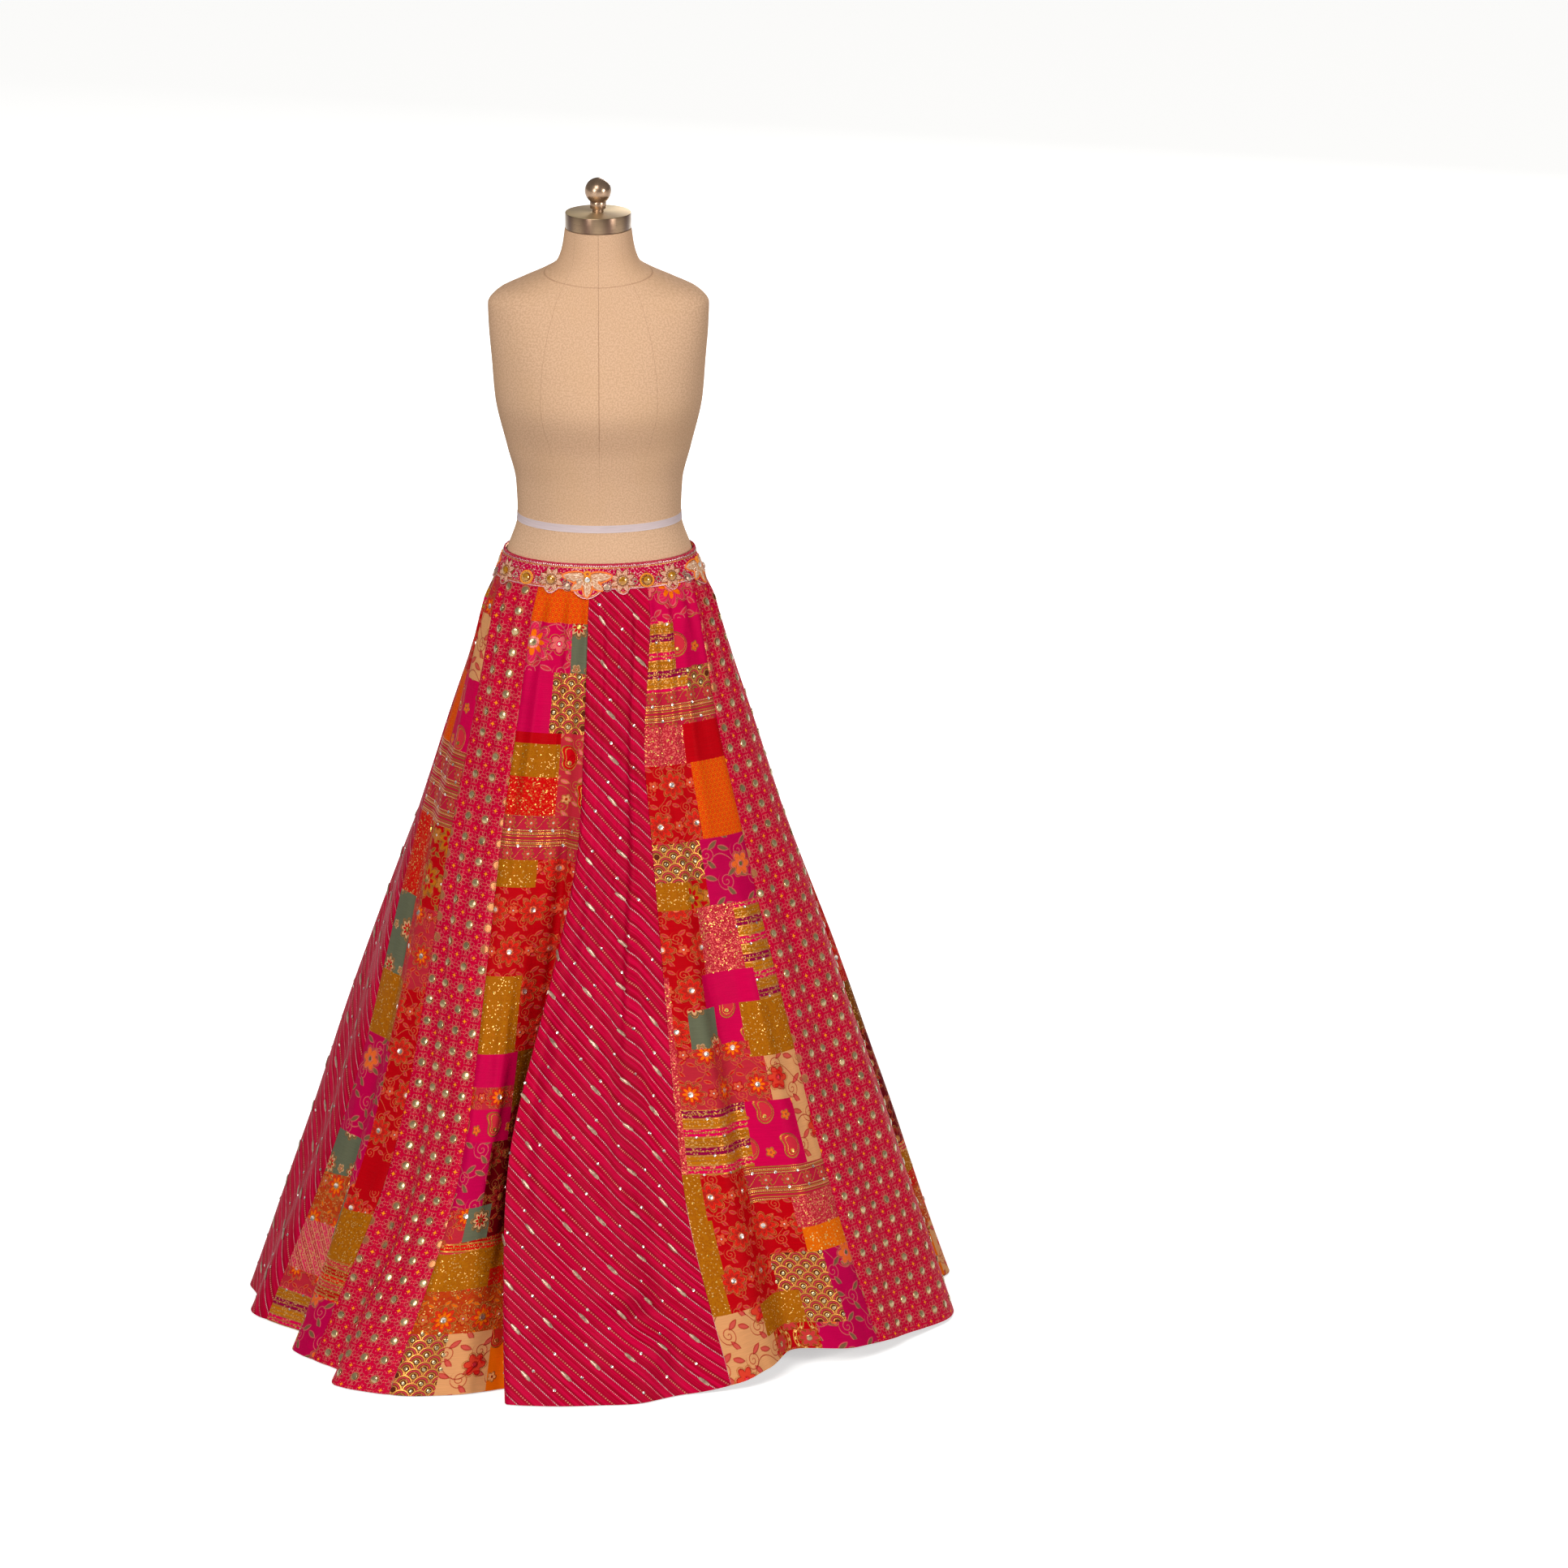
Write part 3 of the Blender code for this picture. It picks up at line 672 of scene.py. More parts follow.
class Cloth:
    """Plain silk that takes stitched layers."""

    def __init__(self, name, colour, rough=0.5, sheen=0.0, slub=1.0, map_name="cloth", drape=SOFT_DRAPE):
        self.material, self.tree, self.shader = new_material(name)
        self.shader.inputs["Sheen Weight"].default_value = sheen
        self.shader.inputs["Sheen Roughness"].default_value = 0.4
        self.shader.inputs["Sheen Tint"].default_value = colour
        self.shader.inputs["IOR"].default_value = 1.09
        where = self.tree.nodes.new("ShaderNodeUVMap")
        where.uv_map = map_name
        apart = self.tree.nodes.new("ShaderNodeSeparateXYZ")
        self.tree.links.new(where.outputs[0], apart.inputs[0])
        self.u = Thread(self.tree, apart.outputs[0])
        self.v = Thread(self.tree, apart.outputs[1])
        self.rough, self.metal = rough, 0.0
        weft = self.noise(self.u * 38, self.v * 900, 3.0)
        warp = self.noise(self.u * 900, self.v * 30, 2.0)
        cloud = self.noise(self.u * 14, self.v * 9, 2.0)
        self.raised = (weft + warp * 0.5) * (SLUB_HEIGHT * slub)
        if drape:
            self.raised = self.raised + self.noise(self.u * 20 + self.v * 3, self.v * 6, 2.0) * drape
        dark = tuple(part * 0.70 for part in colour[:3]) + (1.0,)
        shade = (weft * 0.9 + cloud * 0.6 - 0.35).least(1.0).most(0.0)
        self.colour = mix_colours(self.tree, shade.socket, dark, colour)

    def join(self, x, y):
        node = self.tree.nodes.new("ShaderNodeCombineXYZ")
        for slot, value in zip(node.inputs, (x, y)):
            self.tree.links.new(value.socket, slot)
        return node.outputs[0]

    def noise(self, x, y, detail):
        node = self.tree.nodes.new("ShaderNodeTexNoise")
        node.noise_dimensions = "2D"
        node.inputs["Scale"].default_value = 1.0
        node.inputs["Detail"].default_value = detail
        self.tree.links.new(self.join(x, y), node.inputs["Vector"])
        return Thread(self.tree, node.outputs[0])

    def grains(self, per_metre):
        """Random brightness of small cells, for glitter and beads."""
        node = self.tree.nodes.new("ShaderNodeTexVoronoi")
        node.voronoi_dimensions = "2D"
        node.inputs["Scale"].default_value = per_metre
        self.tree.links.new(self.join(self.u, self.v), node.inputs["Vector"])
        apart = self.tree.nodes.new("ShaderNodeSeparateColor")
        self.tree.links.new(node.outputs["Color"], apart.inputs[0])
        return Thread(self.tree, apart.outputs[0]), Thread(self.tree, node.outputs["Distance"])

    def layer(self, mask, colour, high=0.0, metal=0.0, rough=None):
        """Stitches a layer where its mask is 1."""
        self.colour = mix_colours(self.tree, mask.socket, self.colour, colour)
        if high:
            self.raised = self.raised + mask * high
        if metal:
            self.metal = (mask * metal).most(self.metal)
        if rough is not None:
            self.rough = mask * (rough - self.rough) + self.rough
        return self

    def finish(self):
        self.tree.links.new(self.colour, self.shader.inputs["Base Color"])
        for name, value in (("Roughness", self.rough), ("Metallic", self.metal)):
            if isinstance(value, Thread):
                self.tree.links.new(value.socket, self.shader.inputs[name])
            else:
                self.shader.inputs[name].default_value = value
        emboss(self.tree, self.shader, self.raised.socket, 1.0, 1.0)
        return self.material


# %% [markdown]
# The embroidery is made of a few old motifs: flowers on a staggered lattice, curled teardrops, a waving
# vine with leaves, fish scales, bands and slanting lines. Each is a distance worked out in metres, so a
# motif keeps its real size on every panel. They are common folk motifs, drawn from sines and circles.

# %% Colours of silk and thread
HOT_PINK = paint(214, 0, 74)
CRIMSON = paint(196, 0, 14)
SCARLET = paint(216, 8, 10)
# Painted shade: a darkened crimson, the ground of the crimson floral cloth's shaded copy.
PAINTED_SHADE_CRIMSON = paint(112, 0, 12)
CORAL = paint(198, 40, 56)
ORANGE = paint(238, 106, 4)
MUSTARD = paint(184, 106, 8)
PEACH = paint(230, 160, 104)
SAGE = paint(106, 108, 84)
PURPLE = paint(142, 0, 58)
OLIVE_GOLD = paint(120, 84, 30)
GOLD = paint(188, 114, 48)
PALE_GOLD = paint(218, 164, 92)
SILVER = paint(214, 188, 172)
PALE_PINK = paint(224, 112, 104)
LEAF_GREEN = paint(92, 92, 52)
BRICK = paint(178, 34, 26)
CORAL_THREAD = paint(214, 94, 56)

# %% Motifs


def lattice(u, v, across, down, stagger=0.5):
    """Place in a staggered grid's cell, measured from the cell's middle."""
    row = (v / down).floor()
    slid = u + row.wrap(2.0) * (across * stagger)
    x = slid - (slid / across).floor() * across - across / 2
    y = v - row * down - down / 2
    return x, y


def bloom(x, y, radius, petals, notch=0.38, turn=0.0):
    """Distance inside the edge of a flower."""
    lobes = ((direction(x, y) * (petals / 2) + turn).cosine()).size()
    return (lobes * notch + (1 - notch)) * radius - distance(x, y)


def teardrop(x, y, size, turn=0.6, curl=1.3):
    """Distance inside the edge of a curled teardrop."""
    far = distance(x, y)
    wave = (direction(x, y) - turn - far * (curl / size)).cosine() * 0.5 + 0.5
    return (wave.power(5.0) * 0.62 + 0.40) * size - far


def leaf(x, y, length, width):
    """Distance inside a pointed leaf that lies along x."""
    run = x / (length / 2)
    return (1 - run * run) * (width / 2) - y.size()


def slanted(x, y, degrees):
    sine, cosine = math.sin(math.radians(degrees)), math.cos(math.radians(degrees))
    return x * cosine + y * sine, y * cosine - x * sine


def stitch_bloom(cloth_made, x, y, radius, petals, petal_colour, rim, heart, turn=0.0, inner=None):
    """A flower with its couched rim, an inner flower and its heart."""
    edge = bloom(x, y, radius, petals, turn=turn)
    far = distance(x, y)
    streaks = ((direction(x, y) * (petals * 4) + far * 900).sine() * 0.5 + 0.5) * edge.inside()
    cloth_made.layer(edge.inside() * 0.85, petal_colour, 0.0005, rough=0.5)
    cloth_made.layer(streaks * 0.22, rim, 0.0002)
    if inner:
        within = bloom(x, y, radius * 0.66, petals, notch=0.6, turn=turn)
        cloth_made.layer(within.inside(), inner, 0.0004)
    couched = (far * 2200 + direction(x, y) * 40).sine() * 0.2 + 0.8
    cloth_made.layer((0.0009 - edge.size()).inside() * couched, rim, 0.0007, 0.4, 0.42)
    if radius > 0.012:
        cloth_made.layer((0.0006 - (edge + 0.0026).size()).inside() * couched, GOLD, 0.0006, 0.4, 0.42)
    cloth_made.layer((radius * 0.30 - far).inside(), rim, 0.0004, 0.4, 0.4)
    cloth_made.layer((radius * 0.18 - far).inside(), heart, 0.0006, 0.2, 0.3)


def stitch_vine(cloth_made, u, v, pitch, colour, leaf_colour, width=0.0016):
    """Waving stems with curled shoots and outlined leaves, one vine in every pitch."""
    row = (v / pitch).floor()
    y = v - row * pitch - pitch / 2
    step = pitch * 1.3
    wave = (u * (2 * math.pi / step) + row * 2.1).sine() * (pitch * 0.24)
    couched = ((u + v) * 3200).sine() * 0.3 + 0.7
    cloth_made.layer(line(y - wave, width) * couched, colour, 0.0006, 0.4, 0.42)
    x, z = lattice(u, v, step / 2, pitch / 2)
    far = distance(x - step * 0.06, z)
    coil = pitch * 0.085
    shoot = (direction(x - step * 0.06, z) / (2 * math.pi) * coil + far).wrap(coil) - coil / 2
    coiled = line(shoot, width * 0.8) * (pitch * 0.17 - far).inside()
    cloth_made.layer(coiled * couched, colour, 0.0005, 0.4, 0.42)
    for angle, slide in ((35, 0.27), (-52, -0.25), (160, 0.24)):
        along, aside = slanted(x, z, angle)
        shape = leaf(along - pitch * abs(slide), aside, pitch * 0.24, pitch * 0.085)
        cloth_made.layer(shape.inside() * 0.8, leaf_colour, 0.0004)
        cloth_made.layer((0.0008 - shape.size()).inside() * couched, colour, 0.0005, 0.3, 0.42)


def stitch_glitter(cloth_made, colour, per_metre=620, share=0.45):
    grain, _ = cloth_made.grains(per_metre)
    cloth_made.layer((grain - (1 - share)).inside(0.02) * 0.8, colour, 0.0002, 0.25, 0.45)
    cloth_made.layer((grain - 0.935).inside(0.01), PALE_GOLD, 0.0003, 0.5, 0.38)


def stitch_edges(cloth_made, y, half, colour, bead=0.0026):
    """A couched line and a row of beads along each long edge of a band."""
    rim = y.size() - half
    cloth_made.layer(line(rim, 0.0016), colour, 0.0007, 0.8, 0.35)
    x = cloth_made.u.wrap(bead) - bead / 2
    far = distance(x, rim + bead * 1.3)
    cloth_made.layer((bead * 0.4 - far).inside(), PALE_GOLD, 0.0008, 0.8, 0.3)

# %% [markdown]
# The front and back panels are leheriya, a striped silk whose lines fall to the right. Three kinds of
# couched line take turns: a silver one that carries boat-shaped clusters, a gold one of knotted thread
# with sequins, and a thin dotted one, with a plain pink line halfway between them. The boats and sequins
# are real little meshes further on; the lines themselves are low enough to be a material.

# %% Leheriya silk
LINE_GAP = 0.0132


def leheriya_silk():
    made = Cloth("leheriya_silk", paint(210, 0, 60), rough=0.46)
    falling = (made.u + made.v) * math.sqrt(0.5)
    along = (made.u - made.v) * math.sqrt(0.5)
    shading = made.noise(falling * 240, along * 3.0, 2.0)
    made.layer((shading - 0.50).inside(0.12) * 0.7, paint(152, 0, 26))
    step = (falling / LINE_GAP).floor()
    kind = step.wrap(3.0)
    across = falling - step * LINE_GAP - LINE_GAP / 2
    silver_row, gold_row, pink_row = (1.0 - (kind - number).size().least(1.0) for number in (0.0, 1.0, 2.0))
    halfway = LINE_GAP / 2 - across.size()
    made.layer(line(halfway, 0.0007) * 0.25, paint(214, 40, 84), 0.0003)
    made.layer(line(across - 0.0020, 0.0030) * 0.6, paint(130, 0, 24))
    worn = made.noise(along * 90, step * 7.0, 1.0)
    twist = ((along * (2 * math.pi / 0.0030)) + across * 2400).sine() * 0.5 + 0.5
    silver = line(across, 0.0013) * silver_row
    made.layer(silver * 0.8, paint(160, 10, 48), 0.0004)
    bright = (worn * 1.8 - 0.2).least(1.0).most(0.0)
    made.layer(silver * twist * bright, paint(250, 216, 212), 0.0005, 0.1, 0.4)
    knot = along.wrap(0.0036) - 0.0018
    beads = (0.0012 - distance(knot, across)).inside() * gold_row
    made.layer(line(across, 0.0022) * gold_row * 0.7, paint(140, 16, 30), 0.0003, 0.1, 0.5)
    made.layer(beads * (worn * 1.4 - 0.1).least(1.0).most(0.0), paint(226, 134, 112), 0.0008, 0.2, 0.4)
    dots = (0.0007 - distance(along.wrap(0.0026) - 0.0013, across)).inside() * pink_row
    made.layer(line(across, 0.0010) * pink_row * 0.5, paint(176, 20, 60), 0.0002)
    made.layer(dots * (worn * 1.4 - 0.1).least(1.0).most(0.0), paint(240, 176, 172), 0.0005, 0.2, 0.42)
    return made.finish()


# %% [markdown]
# The narrow side panels are a buti cloth: buti means a small flower that repeats over the whole piece.
# Every flower has a little mirror held by a ring of pale petals, with orange stars between the flowers.

# %% Small-flower silk
BUTI_ACROSS = 0.0310
BUTI_DOWN = 0.0290


def buti_silk():
    made = Cloth("buti_silk", paint(212, 0, 54), rough=0.46)
    x, y = lattice(made.u, made.v, BUTI_ACROSS, BUTI_DOWN, 0.0)
    far = distance(x, y)
    around = (direction(x, y) * (8 / (2 * math.pi))).wrap(1.0) - 0.5
    aside = around * far * (2 * math.pi / 8)
    run = (far - 0.0101) / 0.0036
    petals = (1 - run * run) * 0.0031 - aside.size()
    made.layer(petals.inside() * 0.6, paint(176, 0, 40), 0.0003)
    made.layer((0.0005 - petals.size()).inside() * 0.85, paint(236, 118, 108), 0.0007, 0.1, 0.45)
    twist = (direction(x, y) * 24).sine() * 0.25 + 0.75
    made.layer((0.0008 - (far - 0.0059).size()).inside() * twist, paint(206, 130, 88), 0.0009, 0.4, 0.38)
    made.layer((0.0055 - far).inside(), paint(176, 110, 70), 0.0002, 0.5, 0.35)
    x, y = lattice(made.u + BUTI_ACROSS / 2, made.v + BUTI_DOWN / 2, BUTI_ACROSS, BUTI_DOWN, 0.0)
    star = 0.0060 - (x.size().power(0.45) + y.size().power(0.45)).power(2.222)
    made.layer(star.inside(0.0007), paint(250, 146, 24), 0.0007, 0.1, 0.5)
    spots = distance(x.size() - 0.0034, y.size() - 0.0034)
    made.layer((0.0008 - spots).inside(), paint(232, 96, 104), 0.0005)
    for slide, drop in ((BUTI_ACROSS / 2, 0.0), (0.0, BUTI_DOWN / 2)):
        x, y = lattice(made.u + slide, made.v + drop, BUTI_ACROSS, BUTI_DOWN, 0.0)
        buds = distance(x.size() - 0.0016, y.size() - 0.0022)
        made.layer((0.0009 - buds).inside(), paint(228, 96, 88), 0.0005, 0.2, 0.45)
    grain, _ = made.grains(520)
    made.layer((grain - 0.93).inside(0.02) * 0.6, paint(222, 70, 86), 0.0002)
    return made.finish()


# %% [markdown]
# The other panels are patchwork, pieced from two dozen cloths as an old quilt is. Each function below
# makes one family of cloths, and its colours are its arguments, so one family serves several patches.

# %% Families of patch cloth
SCALE_PITCH = 0.0230
SCALE_RISE = 0.0100


def plain_cloth(name, ground, rough=0.5, slub=1.6):
    return Cloth(name, ground, rough=rough, slub=slub).finish()


def glitter_cloth(name, ground, thread, per_metre=620, share=0.45):
    made = Cloth(name, ground, rough=0.6)
    stitch_glitter(made, thread, per_metre, share)
    return made.finish()


def dotted_cloth(name, ground, dot, pitch=0.0076):
    """Small block-printed rings, with a dot in each and between them."""
    made = Cloth(name, ground, rough=0.55)
    x, y = lattice(made.u, made.v, pitch, pitch * 0.9)
    far = distance(x, y)
    made.layer((0.0006 - (far - pitch * 0.36).size()).inside() * 0.8, dot, 0.0003)
    made.layer((0.0011 - far).inside(), dot, 0.0003)
    x, y = lattice(made.u + pitch / 2, made.v, pitch, pitch * 0.9)
    made.layer((0.0008 - distance(x, y)).inside(), MUSTARD, 0.0003)
    return made.finish()


def flowered_cloth(
    name, ground, petals, rim, heart, pitch=0.052, radius=0.0165, vine=None, glitter=None, inner=None,
):
    """Flowers in two sizes, over a vine where one is given."""
    made = Cloth(name, ground, rough=0.55)
    if glitter:
        stitch_glitter(made, glitter, 560, 0.22)
    if vine:
        stitch_vine(made, made.u, made.v, pitch * 0.9, rim, vine)
    x, y = lattice(made.u, made.v, pitch, pitch)
    stitch_bloom(made, x, y, radius, 8, petals, rim, heart, inner=inner)
    x, y = lattice(made.u + pitch * 0.5, made.v, pitch, pitch)
    stitch_bloom(made, x, y, radius * 0.46, 5, rim, petals, heart, turn=0.6)
    return made.finish()


def teardrop_cloth(name, ground, body, rim, inner, pitch=0.058, vine=None):
    """Curled teardrops that lean to one side, with sprigs between them."""
    made = Cloth(name, ground, rough=0.55)
    if vine:
        stitch_vine(made, made.u, made.v, pitch, rim, vine)
    x, y = lattice(made.u, made.v, pitch, pitch * 0.86)
    edge = teardrop(x, y, pitch * 0.42)
    made.layer(edge.inside(), body, 0.0006)
    made.layer((0.0009 - edge.size()).inside(), rim, 0.0008, 0.6, 0.4)
    made.layer((0.0007 - (edge - 0.0044).size()).inside(), rim, 0.0006, 0.6, 0.4)
    made.layer((0.0030 - distance(x, y)).inside(), inner, 0.0006)
    x, y = lattice(made.u + pitch * 0.5, made.v, pitch, pitch * 0.86)
    stitch_bloom(made, x, y, pitch * 0.12, 5, inner, rim, body, turn=0.3)
    return made.finish()


def vine_cloth(name, ground, stem, leaves, fruit, pitch=0.044):
    made = Cloth(name, ground, rough=0.55)
    stitch_vine(made, made.u, made.v, pitch, stem, leaves, 0.0018)
    x, y = lattice(made.u, made.v, pitch * 1.5, pitch)
    stitch_bloom(made, x, y, pitch * 0.21, 6, fruit, stem, leaves, turn=0.2)
    return made.finish()


def scale_cloth(name, ground, rim, middle):
    """Fish scales: each arch stands in front of the two above it."""
    made = Cloth(name, ground, rough=0.55)
    stitch_glitter(made, OLIVE_GOLD, 700, 0.3)
    radius = SCALE_PITCH / 2
    x, y = lattice(made.u, made.v, SCALE_PITCH, SCALE_RISE)
    front = distance(radius - x.size(), y + SCALE_RISE)
    own = distance(x, y)
    back = distance(radius - x.size(), y - SCALE_RISE)
    far = back + (own - back) * (radius - own).over(0.0)
    far = far + (front - far) * (radius - front).over(0.0)
    made.layer((radius * 0.86 - far).inside() * 0.6, paint(140, 72, 26), 0.0003)
    made.layer((0.0011 - (far - radius * 0.93).size()).inside(), rim, 0.0008, 0.6, 0.35)
    made.layer((0.0010 - (far - radius * 0.68).size()).inside(), paint(196, 54, 66), 0.0006)
    made.layer((radius * 0.40 - far).inside(), middle, 0.0006)
    made.layer((0.0007 - (far - radius * 0.42).size()).inside(), rim, 0.0007, 0.6, 0.35)
    return made.finish()


def banded_cloth(name, colours, rim, pitch=0.0125, diagonal=False):
    """Woven bands of several colours, each edged with a gold line and knots."""
    made = Cloth(name, colours[0], rough=0.55)
    down = made.v
    if diagonal:
        down = (made.v + made.u) * math.sqrt(0.5)
    step = (down / pitch).floor()
    across = down - step * pitch - pitch / 2
    kind = step.wrap(float(len(colours)))
    for number, colour in enumerate(colours[1:], 1):
        made.layer(1.0 - (kind - float(number)).size().least(1.0), colour, 0.0002)
    edge = pitch / 2 - across.size()
    made.layer(line(edge - 0.0004, 0.0018), rim, 0.0006, 0.6, 0.4)
    knot = made.u.wrap(0.0034) - 0.0017
    made.layer((0.0012 - distance(knot, across)).inside(), rim, 0.0008, 0.6, 0.35)
    grain, _ = made.grains(560)
    made.layer((grain - 0.82).inside(0.02) * 0.7, PALE_GOLD, 0.0002, 0.5, 0.35)
    return made.finish()


def border_cloth(name, ground, rim, petals, height=0.042):
    """A border: flowers in a row between two couched and beaded edges."""
    made = Cloth(name, ground, rough=0.5)
    row = (made.v / height).floor()
    y = made.v - row * height - height / 2
    stitch_edges(made, y, height * 0.44, rim)
    stitch_edges(made, y, height * 0.31, rim, 0.0022)
    wave = (made.u * (2 * math.pi / 0.030)).sine() * (height * 0.17)
    made.layer(line(y - wave, 0.0013), rim, 0.0006, 0.7, 0.4)
    x = made.u.wrap(0.030) - 0.015
    stitch_bloom(made, x, y, height * 0.19, 8, petals, rim, SILVER)
    return made.finish()


def medallion_cloth(name, ground, rim, petals, pitch=0.050):
    made = Cloth(name, ground, rough=0.55)
    x, y = lattice(made.u, made.v, pitch, pitch * 0.5)
    far = distance(x, y)
    for share in (0.44, 0.36):
        made.layer((0.0009 - (far - pitch * share).size()).inside(), rim, 0.0007, 0.7, 0.4)
    beads = ((direction(x, y) * 12).cosine() - 0.2).inside(0.3)
    ring = (0.0018 - (far - pitch * 0.40).size()).inside()
    made.layer(beads * ring, PALE_GOLD, 0.0007, 0.6, 0.35)
    stitch_bloom(made, x, y, pitch * 0.28, 8, petals, rim, SILVER)
    return made.finish()


# %% Make the cloths
SILKS = {
    "leheriya": leheriya_silk(),
    "buti": buti_silk(),
    "magenta_plain": plain_cloth("magenta_plain", HOT_PINK),
    "red_plain": plain_cloth("red_plain", CRIMSON),
    "orange": glitter_cloth("orange_silk", ORANGE, paint(226, 122, 20), 520, 0.25),
    "mustard": glitter_cloth("mustard_glitter", MUSTARD, paint(158, 84, 8), 640, 0.4),
    "coral_glitter": glitter_cloth("coral_glitter", CORAL, paint(216, 92, 84), 640, 0.4),
    "red_glitter": glitter_cloth("red_glitter", SCARLET, paint(196, 70, 30), 640, 0.35),
    "orange_dots": dotted_cloth("orange_dots", ORANGE, SCARLET),
    "magenta_flower": flowered_cloth(
        "magenta_flower", HOT_PINK, HOT_PINK, PALE_PINK, SILVER, 0.074, 0.028, vine=CORAL, inner=ORANGE),
    "crimson_floral": flowered_cloth(
        "crimson_floral", CRIMSON, SCARLET, CORAL_THREAD, SILVER, 0.056, 0.017, vine=CORAL, inner=BRICK),
    "coral_floral": flowered_cloth(
        "coral_floral", CORAL, CRIMSON, CORAL_THREAD, SILVER, 0.054, 0.016, vine=CRIMSON, inner=ORANGE),
    "orange_floral": flowered_cloth(
        "orange_floral", paint(196, 66, 14), SCARLET, GOLD, SILVER, 0.056, 0.019, vine=ORANGE, glitter=BRICK,
        inner=ORANGE),
    "gold_flower": flowered_cloth(
        "gold_flower", CRIMSON, MUSTARD, GOLD, SILVER, 0.062, 0.023, vine=OLIVE_GOLD, inner=CRIMSON),
    "sage": flowered_cloth(
        "sage_floral", SAGE, paint(226, 170, 120), paint(150, 96, 48), CORAL, 0.058, 0.0135, inner=CRIMSON),
    "magenta_paisley": teardrop_cloth("magenta_teardrop", HOT_PINK, CORAL, GOLD, ORANGE),
    "coral_paisley": teardrop_cloth("coral_teardrop", CORAL, CRIMSON, GOLD, PEACH, vine=PALE_PINK),
    "orange_paisley": teardrop_cloth("orange_teardrop", ORANGE, BRICK, GOLD, PEACH),
    # Painted shade: a darker copy of the crimson floral cloth, for patches in the shaded valley by the front
    # panel.
    "maroon_floral": flowered_cloth(
        "maroon_floral", PAINTED_SHADE_CRIMSON, paint(150, 6, 24), paint(168, 92, 44), GOLD, 0.060, 0.018, vine=BRICK,
        inner=PAINTED_SHADE_CRIMSON),
    # Painted shade: a darker copy of the mustard glitter cloth, for patches in the shaded valley by the front
    # panel.
    "dark_mustard": glitter_cloth("dark_mustard", paint(140, 74, 6), paint(108, 46, 4), 640, 0.4),
    "magenta_vine": vine_cloth(
        "magenta_vine", paint(200, 0, 74), paint(214, 104, 92), LEAF_GREEN, ORANGE, 0.078),
    "peach_vine": vine_cloth("peach_vine", PEACH, BRICK, CORAL, SCARLET, 0.076),
    "scales": scale_cloth("scale_cloth", paint(96, 46, 16), paint(206, 138, 66), paint(92, 34, 20)),
    "stripes": banded_cloth("banded_silk", (MUSTARD, HOT_PINK, MUSTARD, PURPLE), GOLD),
    "red_stripe": banded_cloth("red_banded_silk", (CRIMSON, CORAL, SCARLET), GOLD, 0.010),
    "diagonal": banded_cloth("slanted_silk", (CORAL, HOT_PINK), PALE_PINK, 0.0085, diagonal=True),
    "coral_band": border_cloth("coral_border", paint(196, 30, 58), GOLD, CORAL),
    "medallion": medallion_cloth("medallion_cloth", CRIMSON, GOLD, CORAL),
}
print(len(SILKS), "cloths,", sum(len(silk.node_tree.nodes) for silk in SILKS.values()), "nodes")

# %% [markdown]
# A patchwork panel is written down as a quilter would: rows from the waist to the hem, each with the
# share of the height where it ends, and its patches from left to right with the share of the width where
# each one ends. Some rows are sewn on a slant, which a small tilt gives. The panels at the back use the
# same tables mirrored.

